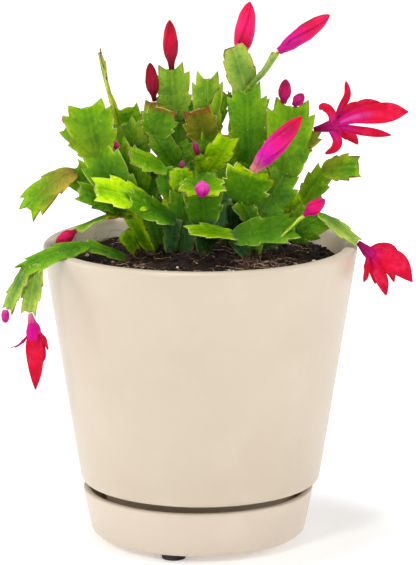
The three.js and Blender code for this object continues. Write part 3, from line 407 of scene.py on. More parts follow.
class Finish:
    """A procedural material whose nodes are added as the recipe needs them."""

    def __init__(self, name):
        self.material = bpy.data.materials.new(name)
        self.material.use_nodes = True
        self.tree = self.material.node_tree
        self.shader = self.tree.nodes["Principled BSDF"]

    def node(self, kind, settings=None, sockets=None, output=0):
        made = self.tree.nodes.new(kind)
        for key, value in (settings or {}).items():
            setattr(made, key, value)
        for key, value in (sockets or {}).items():
            self.plug(made.inputs[key], value)
        return Wire(self, made.outputs[output])

    def plug(self, socket, value):
        if isinstance(value, Wire):
            self.tree.links.new(value.socket, socket)
        elif socket.type == "RGBA" and len(value) == 3:
            socket.default_value = (*value, 1)
        else:
            socket.default_value = value

    def place(self):
        return self.node("ShaderNodeTexCoord", output="Object")

    def noise(self, where, scale, detail=3.0, rough=0.5):
        sockets = {"Vector": where, "Scale": scale, "Detail": detail, "Roughness": rough}
        return self.node("ShaderNodeTexNoise", {}, sockets, "Fac")

    def cells(self, where, scale, output="Distance"):
        return self.node("ShaderNodeTexVoronoi", {}, {"Vector": where, "Scale": scale}, output)

    def attribute(self, name, output):
        return self.node("ShaderNodeAttribute", {"attribute_name": name}, {}, output)

    def parts(self, vector):
        """The three numbers of a vector, each as a wire."""
        made = self.node("ShaderNodeSeparateXYZ", {}, {0: vector})
        return [Wire(self, made.socket.node.outputs[i]) for i in range(3)]

    def mix(self, low, high, share):
        return self.node("ShaderNodeMix", {"data_type": "RGBA"}, {0: share, 6: low, 7: high}, 2)

    def tint(self, colour, other):
        """Multiplies one colour by another."""
        settings = {"data_type": "RGBA", "blend_type": "MULTIPLY"}
        return self.node("ShaderNodeMix", settings, {0: 1.0, 6: colour, 7: other}, 2)

    def veil(self, colour, factors, share, under=None):
        """Lays a lighter or darker veil, of the colour itself or of the one under it, over a share."""
        return self.mix(colour, self.tint(under or colour, factors), share)

    def stain(self, colour, rgb, share):
        """Covers a share of a colour with another, given from 0 to 255."""
        return self.mix(colour, linear(rgb), share)

    def relief(self, height, depth):
        """Turns a height into a bumpy surface, its depth in metres."""
        return self.node("ShaderNodeBump", {}, {"Height": height, "Distance": depth, "Strength": 1.0})

    def set(self, **values):
        """Plugs the finished colour and the rest into the shader."""
        for key, value in values.items():
            self.plug(self.shader.inputs[key.replace("_", " ")], value)
        return self.material


# Finishes
def leaf_finish(name, rough):
    """Waxy green: tone is a segment's colour with its painted light and shade, spot is mm off the rib, mm up
    the segment and mm to the rim, and marks says how red and how cream the rim is (the cream partly a
    painted highlight) and whether the part is plain."""
    f = Finish(name)
    where = f.place()
    tone = f.attribute("tone", "Color")
    across, along, rim = f.parts(f.attribute("spot", "Vector"))
    flush, cream, plain = f.parts(f.attribute("marks", "Vector"))
    leafy = 1 - plain
    patches = f.noise(where, 75, 3, 0.55)
    mottle = f.noise(where, 420, 4, 0.62)
    grain = f.noise(where, 2200, 2, 0.5)
    away = abs(across)
    colour = f.veil(tone, (0.36, 0.54, 0.5), patches.between(0.48, 0.7) * leafy * 0.85)
    colour = f.veil(colour, (1.5, 1.2, 1.0), patches.between(0.46, 0.3) * leafy * 0.65, tone)
    colour = f.veil(colour, (0.5, 0.66, 0.6), mottle.between(0.48, 0.7) * 0.65, tone)
    # Painted light: a lime glow along the thin rim, as light shines through it; painted shade: darker in the
    # thick centre
    thin = (rim + mottle - 0.5).between(2.0, 0.3) * leafy
    colour = f.veil(colour, (1.75, 1.5, 0.9), thin * 0.65)
    centre = (rim + patches * 4 - 2).between(1.8, 6.0) * leafy
    colour = f.veil(colour, (0.6, 0.76, 0.6), centre * 0.6)
    # Painted shade beside the raised rib
    shade_beside_rib = away.between(0.3, 0.9) * away.between(3.6, 1.2) * leafy
    colour = f.veil(colour, (0.5, 0.64, 0.6), shade_beside_rib * 0.5)
    fork = (along * 0.2 - away * 0.27 + mottle * 0.45).fraction()
    veins = abs(fork - 0.5).between(0.07, 0.0) * away.between(0.5, 1.6) * rim.between(0.4, 1.8) * leafy
    colour = f.veil(colour, (1.5, 1.25, 1.3), veins * 0.12)
    rib = away.between(0.5, 0.12) * leafy
    colour = f.veil(colour, (1.5, 1.28, 1.5), rib * (0.05 + patches * 0.35))
    sore = (rim + mottle * 2.0 - 1.0).between(1.5, 0.1) * flush * leafy
    colour = f.stain(colour, (108, 26, 18), sore * (0.6 + patches.between(0.36, 0.6) * 0.5))
    line = (rim + mottle * 0.5 - 0.25).between(0.55, 0.15) * (1 - cream) * leafy
    colour = f.stain(colour, (70, 60, 12), line * 0.45)
    # Cream along the rim: partly the edge's own colour, partly a painted highlight
    pale = (rim + mottle * 0.9 - 0.45).between(0.55, 0.1) * cream * patches.between(0.62, 0.42) * leafy
    colour = f.stain(colour, (226, 240, 140), pale * 0.85)
    # Pale specks: painted glints
    dots = f.cells(where, 330).between(0.14, 0.06) * f.noise(where, 90, 1).between(0.5, 0.6) * leafy
    colour = f.stain(colour, (206, 216, 150), dots * 0.6)
    height = grain * 0.25 + mottle * 1.2 + veins * 0.3 + rib * 0.6 + patches * 8
    return f.set(Base_Color=colour, Roughness=mottle * 0.24 + rough, Normal=f.relief(height, 0.0005),
                 Specular_IOR_Level=0.14)


def bud_finish(name, rough):
    """Silky tepals: spot is half the turn round the bud, the share of its length and of a tepal's width."""
    f = Finish(name)
    where = f.place()
    tone = f.attribute("tone", "Color")
    turn, along, fold = f.parts(f.attribute("spot", "Vector"))
    streaks = f.noise(where, 260, 3, 0.6)
    blush = f.noise(where, 90, 2)
    colour = f.veil(tone, (0.62, 0.4, 0.62), blush.between(0.46, 0.68) * 0.7)
    # Paler towards each tepal's raised lapping edge, and painted shade in the step under it
    colour = f.veil(colour, (1.3, 2.2, 1.5), fold.between(0.6, 0.98) * 0.3, tone)
    colour = f.veil(colour, (0.5, 0.25, 0.4), fold.between(0.26, 0.03) * 0.7)
    threads = abs((turn * 9 + streaks * 0.5).fraction() - 0.5).between(0.2, 0.02)
    colour = f.veil(colour, (0.74, 0.45, 0.6), threads * 0.35)
    dots = f.cells(where, 700).between(0.2, 0.08) * f.noise(where, 150, 1).between(0.52, 0.6)
    colour = f.stain(colour, (255, 170, 205), dots * 0.25)
    height = threads * -0.4 + streaks * 0.5 + f.noise(where, 1800, 2) * 0.25
    return f.set(Base_Color=colour, Roughness=streaks * 0.2 + rough, Normal=f.relief(height, 0.0002),
                 Specular_IOR_Level=0.14)


def petal_finish(name):
    """Thin silk: marks says how dark a tube is, how pale a throat and whether the part is cream."""
    f = Finish(name)
    where = f.place()
    across, along, rim = f.parts(f.attribute("spot", "Vector"))
    flush, cream, plain = f.parts(f.attribute("marks", "Vector"))
    wash = f.noise(where, 120, 3, 0.6)
    colour = f.mix(linear((218, 2, 142)), linear((224, 0, 52)), (along + wash * 0.22).between(0.1, 0.62))
    # Pinker wash: partly the petal's own colour, partly a painted highlight
    colour = f.stain(colour, (248, 60, 112), (wash + along * 0.2).between(0.56, 0.86) * 0.6)
    throat = abs(across).between(0.55, 0.05) * along.between(0.62, 0.15) * cream
    colour = f.stain(colour, (238, 96, 190), throat * 0.75)
    colour = f.stain(colour, (104, 4, 40), flush)
    colour = f.stain(colour, (240, 220, 170), plain)
    # Darker wash: partly the petal's own colour, partly painted shade
    colour = f.veil(colour, (0.66, 0.3, 0.6), wash.between(0.44, 0.28) * 0.6)
    threads = abs((across * 6 + wash * 0.6).fraction() - 0.5).between(0.22, 0.02)
    colour = f.veil(colour, (0.74, 0.4, 0.56), threads * 0.4)
    edge = rim.between(0.5, 0.05)
    colour = f.veil(colour, (0.8, 0.5, 0.7), edge * 0.5)
    height = threads * -0.5 + wash * 0.4 + f.noise(where, 1500, 2) * 0.2
    return f.set(Base_Color=colour, Roughness=wash * 0.2 + 0.36, Normal=f.relief(height, 0.0003),
                 Specular_IOR_Level=0.12)


# The cone between the pot's inner and outer wall, in metres, which bounds the painted light on the inner
# wall: how its radius grows, and where it starts
POT_TAPER, POT_INSIDE = 0.157, 0.0515


def glaze_finish(name, pale, deep, warm):
    """Cream glaze. The pot's inner wall is painted lighter: painted light that lifts the shade inside the
    pot.
    """
    f = Finish(name)
    where = f.place()
    cloud = f.noise(where, 9, 2)
    slip = f.noise(where, 46, 3, 0.6)
    speck = f.cells(where, 900).between(0.12, 0.04) * f.noise(where, 60, 1).between(0.56, 0.62)
    colour = f.mix(linear(pale), linear(deep), cloud.between(0.3, 0.7))
    colour = f.stain(colour, warm, slip.between(0.45, 0.75) * 0.35)
    # Painted light on the inner wall above the soil
    x, y, z = f.parts(where)
    from_axis = ((x + MIDDLE * MM) ** 2 + y * y) ** 0.5
    inner_wall_light = (z * POT_TAPER + POT_INSIDE - from_axis).between(0, 0.001)
    colour = f.veil(colour, (1.6, 1.57, 1.5), inner_wall_light * (z - 0.06).between(0, 0.02))
    colour = f.stain(colour, (176, 150, 120), speck * 0.35)
    height = slip * 0.6 + f.noise(where, 240, 2) * 0.25 + f.noise(where, 1400, 2) * 0.06
    return f.set(Base_Color=colour, Roughness=slip * 0.12 + 0.36, Normal=f.relief(height, 0.00035),
                 Coat_Weight=slip * 0.1 + 0.12, Coat_Roughness=0.25, Specular_IOR_Level=0.45)


def rubber_finish():
    f = Finish("foot_rubber")
    where = f.place()
    grain = f.noise(where, 1500, 3)
    scuff = f.noise(where, 160, 3).between(0.5, 0.75)
    colour = f.mix(linear((24, 23, 23)), linear((58, 56, 54)), scuff * 0.6 + grain * 0.2)
    return f.set(Base_Color=colour, Roughness=grain * 0.2 + 0.6, Normal=f.relief(grain, 0.0002))


def soil_finish(name, light):
    """Damp crumbs of the piece's own tone, darker in the hollows and lighter on the crests, the highest ones
    in a lighter colour: partly the crumbs' own colour, partly painted shade and light.
    """
    f = Finish(name)
    where = f.place()
    tone = f.attribute("tone", "Color")
    damp = f.noise(where, 50, 3)
    crumb = f.noise(where, 900, 4, 0.7)
    # Painted shade in the hollows and painted light on the crests of the crumb relief, with the crumbs' own
    # colours
    colour = f.tint(tone, f.mix((0.22, 0.2, 0.19), (2.2, 2.05, 1.95), crumb.between(0.34, 0.68)))
    colour = f.veil(colour, (0.55, 0.5, 0.5), damp.between(0.45, 0.65) * 0.6)
    colour = f.stain(colour, light, crumb.between(0.62, 0.72) * 0.6)
    return f.set(Base_Color=colour, Roughness=damp * -0.2 + 0.95, Normal=f.relief(crumb, 0.0012),
                 Specular_IOR_Level=0.25)


FINISHES = {
    "pot_glaze": glaze_finish("pot_glaze", (202, 188, 168), (196, 181, 161), (208, 195, 176)),
    "saucer_glaze": glaze_finish("saucer_glaze", (212, 198, 180), (206, 191, 173), (218, 205, 188)),
    "foot_rubber": rubber_finish(),
    "soil": soil_finish("soil", (120, 88, 66)),
    "leaf_lime": leaf_finish("leaf_lime", 0.34),
    "leaf_green": leaf_finish("leaf_green", 0.36),
    "leaf_deep": leaf_finish("leaf_deep", 0.4),
    "bud_crimson": bud_finish("bud_crimson", 0.36),
    "bud_pink": bud_finish("bud_pink", 0.3),
    "bud_magenta": bud_finish("bud_magenta", 0.28),
    "petal_red": petal_finish("petal_red"),
}


# Modelling by hand: one thing selected, worked in edit mode
def clear_selection():
    for o in bpy.context.selected_objects:
        o.select_set(False)


def edit(piece):
    clear_selection()
    piece.select_set(True)
    bpy.context.view_layer.objects.active = piece
    bpy.ops.object.mode_set(mode="EDIT")


def close_up():
    """Leaves edit mode with all faces turned one way."""
    bpy.ops.mesh.select_all(action="SELECT")
    bpy.ops.mesh.normals_make_consistent(inside=False)
    bpy.ops.object.mode_set(mode="OBJECT")


def slab(name, columns, rows):
    """A closed template slab: x is -1..1 across, y is 0..1 along, z is -1, 0 and 1 through it."""
    clear_selection()
    bpy.ops.mesh.primitive_grid_add(x_subdivisions=columns, y_subdivisions=rows, size=2, location=(0, 0, -1))
    piece = bpy.context.object
    piece.name = name
    edit(piece)
    bpy.ops.transform.resize(value=(1, 0.5, 1), center_override=(0, -1, -1))
    bpy.ops.transform.translate(value=(0, 1, 0))
    for _ in range(2):
        bpy.ops.mesh.extrude_region_move(TRANSFORM_OT_translate={"value": (0, 0, 1)})
    close_up()
    bpy.ops.object.transform_apply(location=True, rotation=True, scale=True)
    return piece


def sleeve(name, sides, rings):
    """A closed template tube of radius 1 along z from 0 to 1, its poles closed to a point."""
    clear_selection()
    bpy.ops.mesh.primitive_circle_add(vertices=sides, radius=1, fill_type="TRIFAN", location=(0, 0, 0))
    piece = bpy.context.object
    piece.name = name
    edit(piece)
    for _ in range(rings):
        bpy.ops.mesh.extrude_region_move(TRANSFORM_OT_translate={"value": (0, 0, 1 / rings)})
    close_up()
    return piece


def turned(name, profile, sides, x=0.0, y=0.0, hollow=False):
    """A piece thrown on the wheel: a ring drawn up through the profile, then closed."""
    clear_selection()
    r0, z0 = profile[0]
    fill = "NOTHING" if hollow else "TRIFAN"
    bpy.ops.mesh.primitive_circle_add(vertices=sides, radius=r0, fill_type=fill, location=(0, 0, z0))
    piece = bpy.context.object
    piece.name = name
    edit(piece)
    bpy.context.tool_settings.transform_pivot_point = "MEDIAN_POINT"
    extrude = bpy.ops.mesh.extrude_edges_move if hollow else bpy.ops.mesh.extrude_region_move
    for (ra, za), (rb, zb) in zip(profile, profile[1:]):
        extrude(TRANSFORM_OT_translate={"value": (0, 0, zb - za)})
        bpy.ops.transform.resize(value=(rb / ra, rb / ra, 1), center_override=(0, 0, zb))
    bpy.ops.mesh.select_all(action="SELECT")
    bpy.ops.mesh.remove_doubles(threshold=0.005)
    bpy.ops.mesh.normals_make_consistent(inside=False)
    bpy.ops.transform.resize(value=(MM, MM, MM), center_override=(0, 0, 0))
    bpy.ops.transform.translate(value=((x - MIDDLE) * MM, y * MM, 0))
    bpy.ops.object.mode_set(mode="OBJECT")
    bpy.ops.object.transform_apply(location=True, rotation=True, scale=True)
    bpy.ops.object.shade_smooth_by_angle(angle=math.radians(60))
    return piece


def rounded(corners):
    """A profile whose corners (radius, height, softness) are rounded off."""
    out = []
    for i, (r, z, soft) in enumerate(corners):
        here = np.array((r, z), float)
        if soft == 0 or i in (0, len(corners) - 1):
            out.append(tuple(here))
            continue
        before = unit(np.array(corners[i - 1][:2], float) - here) * soft
        after = unit(np.array(corners[i + 1][:2], float) - here) * soft
        for t in np.linspace(0, 1, 6):
            out.append(tuple(here + before * (1 - t) ** 2 + after * t ** 2))
    return out


def brush(mesh, key, value):
    """Gives each vertex its paint: tone is a colour, spot and marks are three numbers."""
    kind, field, size = ("FLOAT_COLOR", "color", 4) if key == "tone" else ("FLOAT_VECTOR", "vector", 3)
    layer = mesh.attributes.get(key) or mesh.attributes.new(key, kind, "POINT")
    value = np.broadcast_to(np.asarray(value, float), (len(mesh.vertices), size))
    layer.data.foreach_set(field, np.ascontiguousarray(value).ravel())


def shaped(name, template, points, **paint):
    """A copy of a template with its vertices moved to points (in plan millimetres) and its paint."""
    mesh = template.data.copy()
    mesh.name = name
    at = (np.asarray(points, float) - (MIDDLE, 0, 0)) * MM
    mesh.vertices.foreach_set("co", at.ravel())
    for key, value in paint.items():
        brush(mesh, key, value)
    piece = bpy.data.objects.new(name, mesh)
    bpy.context.collection.objects.link(piece)
    return piece


def joined(name, pieces, angle=55):
    """Makes one piece of many, smooth where its faces meet under the angle."""
    clear_selection()
    for p in pieces:
        p.select_set(True)
    bpy.context.view_layer.objects.active = pieces[0]
    if len(pieces) > 1:
        bpy.ops.object.join()
    piece = bpy.context.object
    piece.name = name
    edit(piece)
    bpy.ops.mesh.select_all(action="SELECT")
    bpy.ops.mesh.remove_doubles(threshold=0.00001)
    bpy.ops.object.mode_set(mode="OBJECT")
    bpy.ops.object.shade_smooth_by_angle(angle=math.radians(angle))
    return piece


def dress(piece, slot, *nodes):
    """Gives a piece its finish, and its place in the frame."""
    piece.data.materials.clear()
    piece.data.materials.append(FINISHES[slot])
    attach(piece, "root")
    if nodes:
        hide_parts(*nodes)
    return piece


def curve(points, shares):
    """A smooth line through points, read at shares from 0 to 1 of its corners."""
    p = np.asarray(points, float)
    p = p[:, None] if p.ndim == 1 else p
    p = np.vstack([2 * p[0] - p[1], p, 2 * p[-1] - p[-2]])
    x = np.clip(np.asarray(shares, float), 0, 1) * (len(p) - 3)
    i = np.minimum(x.astype(int), len(p) - 4)
    t = (x - i)[:, None]
    a, b, c, d = p[i], p[i + 1], p[i + 2], p[i + 3]
    square, cube = 2 * a - 5 * b + 4 * c - d, 3 * b - a - 3 * c + d
    return 0.5 * (2 * b + (c - a) * t + square * t ** 2 + cube * t ** 3)


def trace(line, t, step=0.02):
    """The points of a bent line, and which way it runs there."""
    return curve(line, t), unit(curve(line, t + step) - curve(line, t - step))


def around(at, side, front, x, y):
    """Points set x to the side and y to the front of their places on a line."""
    return at + side * x[:, None] + front * y[:, None]


def corners_of(template):
    """A template's vertices, one a row."""
    at = np.empty(len(template.data.vertices) * 3)
    template.data.vertices.foreach_get("co", at)
    return at.reshape(-1, 3)


# Leaf segments
LEAF_COLUMNS, LEAF_ROWS = 16, 52
leaf_template = slab("leaf_template", LEAF_COLUMNS, LEAF_ROWS)
LEAF = corners_of(leaf_template)
ROW = np.rint(LEAF[:, 1] * LEAF_ROWS).astype(int)
bristle_template = sleeve("bristle_template", 3, 2)
BRISTLE = corners_of(bristle_template)
stem_template = sleeve("stem_template", 10, 8)
STEM = corners_of(stem_template)


def rows_of(corners):
    """How many rows each stroke of an outline gets, long strokes more."""
    steps = np.linalg.norm(np.diff(np.array(corners) * (1.7, 1), axis=0), axis=1)
    rows = np.maximum(4, np.floor(steps / steps.sum() * LEAF_ROWS)).astype(int)
    missing = LEAF_ROWS - rows.sum()
    while missing:
        stroke = np.argmax(steps / rows) if missing > 0 else np.argmax(rows)
        rows[stroke] += np.sign(missing)
        missing = LEAF_ROWS - rows.sum()
    return rows


def margin(corners, rows):
    """The margin's line: full between teeth, hollow behind each tooth's tip."""
    line = [np.array(corners[0], float)]
    for k, n in enumerate(rows):
        a, b = np.array(corners[k], float), np.array(corners[k + 1], float)
        d = b - a
        if k == 0:
            c1, c2 = a + d * (0.06, 0.55), a + d * (0.5, 1.0)
        elif k == len(rows) - 1:
            c1, c2 = a + d * 0.3, a + d * (0.8, 0.7)
        elif k == len(rows) - 2:
            c1, c2 = a + d * (0.62, 0.18), a + d * (1.0, 0.5)
        elif d[1] > 0.02:
            c1, c2 = a + d * (0.3, 0.78) + (0, 0.015), a + d * (0.78, 0.86)
        elif d[0] > 0.1:
            c1, c2 = a + d * (0.35, -0.3) + (0, 0.01), a + d * (0.72, 0.3) + (0, 0.01)
        else:
            c1, c2 = a + d * (0.1, 0.55) + (-0.02, 0), a + d * (0.6, 1.0) + (-0.01, -0.012)
        for t in np.arange(1, n + 1) / n:
            line.append((1 - t) ** 3 * a + 3 * (1 - t) ** 2 * t * c1 + 3 * (1 - t) * t * t * c2 + t ** 3 * b)
    return np.array(line)


def leaf_frame(base, tip, width, turn, bend, fold=0.0):
    """Where a share of the length and half width lies in space, lifted off the blade's own sheet."""
    axis = tip - base
    chord = np.linalg.norm(axis)
    axis = axis / chord
    near = np.array((0, -1, 0)) if abs(axis[1]) <= 0.93 else np.array((0, 0, 1))
    normal = unit(near - axis * near.dot(axis))
    c, s = math.cos(math.radians(turn)), math.sin(math.radians(turn))
    normal = normal * c + np.cross(axis, normal) * s
    side = np.cross(normal, axis)
    arc = math.radians(bend)
    half = width / 2

    def place(s, w, lift):
        lean = arc * (s - 0.5)
        along, rise = s * chord, np.zeros_like(s)
        if abs(arc) > 0.01:
            r = chord / (2 * math.sin(arc / 2))
            along = r * np.sin(lean) + chord / 2
            rise = r * (np.cos(lean) - math.cos(arc / 2))
        off = lift + CUP * w * w * half + fold * (np.hypot(w * half, 0.8) - 0.8)
        return (base + np.outer(along + off * np.sin(lean), axis)
                + np.outer(rise + off * np.cos(lean), normal) + np.outer(w * half, side))
    return place, chord, half


def segment_tone(joint, parent, points, s, u, chord):
    """A segment's colour: its parent's at the neck, then its own, with painted shade towards the neck and
    low inside the plant.
    """
    own, old = (np.array(opaque(GREENS[TONE_OF.get(j, "green")])) for j in (joint, parent))
    grown = np.clip((s * chord - 0.5) / 2.5, 0, 1)[:, None]
    # Painted shade: darker towards the neck, lighter towards the tip
    tone = (own * grown + old * (1 - grown)) * (0.88 + 0.2 * np.clip(s, 0, 1))[:, None]
    # Painted shade on segments low down and near the middle of the plant
    low = np.clip((235 - points[:, 2]) / 70, 0, 1)
    inner = np.clip(1.25 - np.hypot(points[:, 0], points[:, 1]) / 62, 0, 1)
    tone = tone * (1 - np.outer(low * inner, (0.5, 0.36, 0.38, 0)))
    peach = (PEACH_OF.get(joint, 0) * np.clip(1.1 - s * 1.3 + u * 0.35, 0, 1))[:, None]
    tone = tone * (1 - peach) + np.array(opaque(GREENS["peach"])) * peach
    # A sun top is painted light; a rust top is the segment's own colour
    if joint in TOP_LIGHT_OR_RUST:
        top = (np.clip((s - 0.76) / 0.2, 0, 1) * 0.75)[:, None]
        tone = tone * (1 - top) + np.array(opaque(GREENS[TOP_LIGHT_OR_RUST[joint]])) * top
    return tone


def leaf(joint, parent, base, tip, width, turn, bend, shape):
    """One leafy segment, its paint, and the bristles in its notches."""
    base, tip = np.array(base, float), np.array(tip, float)
    fold = rng.choice((-1, 1)) * rng.uniform(0.05, 0.15)
    place, chord, half = leaf_frame(base, tip, width, turn, bend, 0.0 if joint == UNFOLDED else fold)
    sink = SINK / chord
    nominal = [(-sink, NECK)] + SIDES[shape] + [(1.0, 0.0)]
    rows = rows_of(nominal)
    sides = []
    for _ in range(2):
        own = [(s + (rng.normal(0, 0.008) if 0 < i < len(nominal) - 1 else 0),
                w + (rng.normal(0, 0.012) if 0 < i < len(nominal) - 1 else 0))
               for i, (s, w) in enumerate(nominal)]
        sides.append(margin(own, rows))
    middle = np.maximum.accumulate(margin(nominal, rows) @ (1, -0.25))
    middle = (middle - middle[0]) / (middle[-1] - middle[0])
    middle = -sink + (middle * 0.85 + np.linspace(0, 1, LEAF_ROWS + 1) * 0.15) * (1 + sink)

    # Each row of the template runs from the rib out to the rim, a little past it in the middle layer
    u, out = LEAF[:, 0], np.abs(LEAF[:, 0])
    edge = np.where(u[:, None] < 0, sides[0][ROW], sides[1][ROW])
    brim = LEAF[:, 2] == 0
    reach = np.hypot((edge[:, 0] - middle[ROW]) * chord, edge[:, 1] * half) + 0.2
    ease = out ** 0.9
    grow = np.where(brim, ease * (1 + 0.3 / reach), ease)
    s = middle[ROW] + (edge[:, 0] - middle[ROW]) * grow
    w = edge[:, 1] * np.sign(u) * grow
    x = w * half
    # Half thickness: a fleshy blade, thin at its rim, with a rib that tapers
    taper = np.clip(1.1 - 0.45 * np.clip(s, 0, 1), 0, 1)
    body = 0.26 + 0.46 * (1 - ease ** 2) ** 0.8 * min(1, 0.5 + width / 30)
    body = body + 0.5 * taper * np.exp(-(x / 0.95) ** 2) * (1 - ease ** 4)
    phase = rng.uniform(0, 6.28, 2)
    ripple = np.sin(s * 7.5 + np.where(u < 0, phase[0], phase[1])) * 0.5 * (ease * np.abs(w)) ** 1.4
    twist = rng.normal(0, 0.035) * (s - 0.4) * x * 2
    lift = np.where(brim, 0, LEAF[:, 2] * body) + ripple + twist
    points = place(s, w, lift)
    to_rim = (1 - ease) * reach
    # Where the strokes of a side end: at the tip of a tooth or in a notch, the last at the top
    ends = list(enumerate(np.cumsum(rows)[:-1]))
    broad = [share for _, share in nominal]
    teeth = [e for k, e in ends if broad[k + 1] > max(broad[k], broad[k + 2]) or k == len(rows) - 3]
    notches = [e for k, e in ends if broad[k + 2] > broad[k + 1] or k == len(rows) - 2]
    red = FLUSH_OF.get(joint, 0.14)
    flush = np.minimum(1, red * (0.3 + 1.2 * np.clip(s, 0, 1.1) ** 3))
    for line, hand in zip(sides, (-1, 1)):
        for e in teeth:
            near = np.hypot((s - line[e][0]) * chord, (w - line[e][1] * hand) * half)
            flush = np.maximum(flush, np.exp(-(near / 1.5) ** 2) * min(1, 0.5 + red))
    tone = segment_tone(joint, parent, points, s, u, chord)
    spot = np.stack([x, s * chord, to_rim], 1)
    marks = np.stack([flush, np.full_like(s, CREAM_AND_HIGHLIGHT_OF.get(joint, 0.3)), np.zeros_like(s)], 1)
    pieces = [shaped(joint, leaf_template, points, tone=tone, spot=spot, marks=marks)]

    def on_rim(s, w):
        return place(np.array([s]), np.array([w]), np.zeros(1))[0]

    for line, hand in zip(sides, (-1, 1)):
        for e in notches:
            along, across = line[e] * (1, hand)
            foot = on_rim(along, across)
            ahead = unit(on_rim(along + 0.06, across * 1.12) - foot)
            pieces += [bristle(foot, ahead, 0.35, (0.7, 1.5)) for _ in range(3)]
    ahead = unit(tip - base)
    for _ in range(4):
        pieces.append(bristle(on_rim(1.0, rng.uniform(-0.2, 0.2)), ahead, 0.4, (0.6, 1.3)))
    return pieces


def plain_part(name, colour, template, points):
    """A part of one colour, without the veins and rims of a leaf."""
    return shaped(name, template, points, tone=opaque(GREENS[colour]), spot=(9, 9, 9), marks=(0, 0, 1))


def bristle(foot, ahead, stray, lengths):
    """A stiff hair out of a notch, more or less straight ahead."""
    way = unit(ahead + rng.normal(0, stray, 3))
    length = rng.uniform(*lengths)
    side = unit(np.cross(way, (0.3, 0.8, 0.5)))
    front = np.cross(way, side)
    thin = 0.09 * (1 - 0.8 * BRISTLE[:, 2])
    at = foot + np.outer(BRISTLE[:, 2] * length - 0.2, way)
    points = around(at, side, front, BRISTLE[:, 0] * thin, BRISTLE[:, 1] * thin)
    return plain_part("bristle", "bristle", bristle_template, points)


def woody_foot(x, y):
    """The corky foot of a stem, standing in the soil."""
    z = soil_height(x, y)
    t = STEM[:, 2]
    swell = 2.3 * (1 - 0.28 * t) * (1 + 0.08 * np.sin(STEM[:, 0] * 5 + t * 9))
    points = np.stack([x + STEM[:, 0] * swell, y + STEM[:, 1] * swell, z - 4 + t * 7.5], 1)
    return plain_part("foot", "bark", stem_template, points)


LIME_STEMS = ("stem_left", "stem_centre_flat", "stem_centre_lime")
DEEP_STEMS = ("stem_left_back", "stem_right", "stem_right_low",
              "stem_back_left", "stem_back", "stem_back_right", "stem_back_far")
SLOT_OF = {**dict.fromkeys(LIME_STEMS, "leaf_lime"), **dict.fromkeys(DEEP_STEMS, "leaf_deep")}
for name, ((x, y), segments) in STEMS.items():
    joints = {"root": (x, y, soil_height(x, y) + 1.6)}
    pieces = [woody_foot(x, y)]
    for start, joint, tip, width, turn, bend, shape in segments:
        # A segment fades into the tone of the one it grows from
        if isinstance(start, str):
            base, parent = joints[start], joint if start == "root" else start
        else:
            base, parent = start, last
        last = joint
        pieces += leaf(joint, parent, base, tip, width, turn, bend, shape)
        joints[joint] = tip
    dress(joined(name + "_leaves", pieces), SLOT_OF.get(name, "leaf_green"), name)


# Buds
WHITE = (1, 1, 1, 1)
bud_template = sleeve("bud_template", 40, 26)
BUD = corners_of(bud_template)
BUD_CORE, BUD_TURN = np.hypot(BUD[:, 0], BUD[:, 1]), np.arctan2(BUD[:, 1], BUD[:, 0])
petal_template = slab("petal_template", 12, 22)
PETAL = corners_of(petal_template)


def petal(line, widths, face, thick=0.5, channel=0.16, flush=0.0, cream=0.0, ruffle=0.2, first=0.0):
    """A petal or scale along a bent line: thin at its edge, channelled, pointed at its end."""
    t = PETAL[:, 1]
    at, ahead = trace(line, t)
    face = unit(np.array(face, float))
    up = unit(face - ahead * (ahead @ face)[:, None])
    wide = np.cross(ahead, up)
    half = np.maximum(curve(widths, t)[:, 0], 0.2) / 2
    half = half * np.sqrt(np.clip(1 - np.clip((t - 0.86) / 0.15, 0, 1) ** 2, 0.002, 1))
    u = PETAL[:, 0]
    brim = PETAL[:, 2] == 0
    x = u * half + np.where(brim, np.sign(u) * 0.12, 0)
    body = thick / 2 * (0.35 + 0.65 * (1 - u * u)) + 0.16 * np.exp(-(x / 0.5) ** 2)
    wave = ruffle * np.sin(t * 13 + np.sign(u) * 1.3 + rng.uniform(0, 6)) * np.abs(u) ** 3
    lift = np.where(brim, 0, PETAL[:, 2] * body) - channel * half * (1 - u * u) + wave
    points = around(at, wide, up, x, lift)
    spot = np.stack([u, first + t * (1 - first), (1 - np.abs(u)) * half], 1)
    return shaped("petal", petal_template, points, tone=WHITE, spot=spot, marks=(flush, cream, 0))


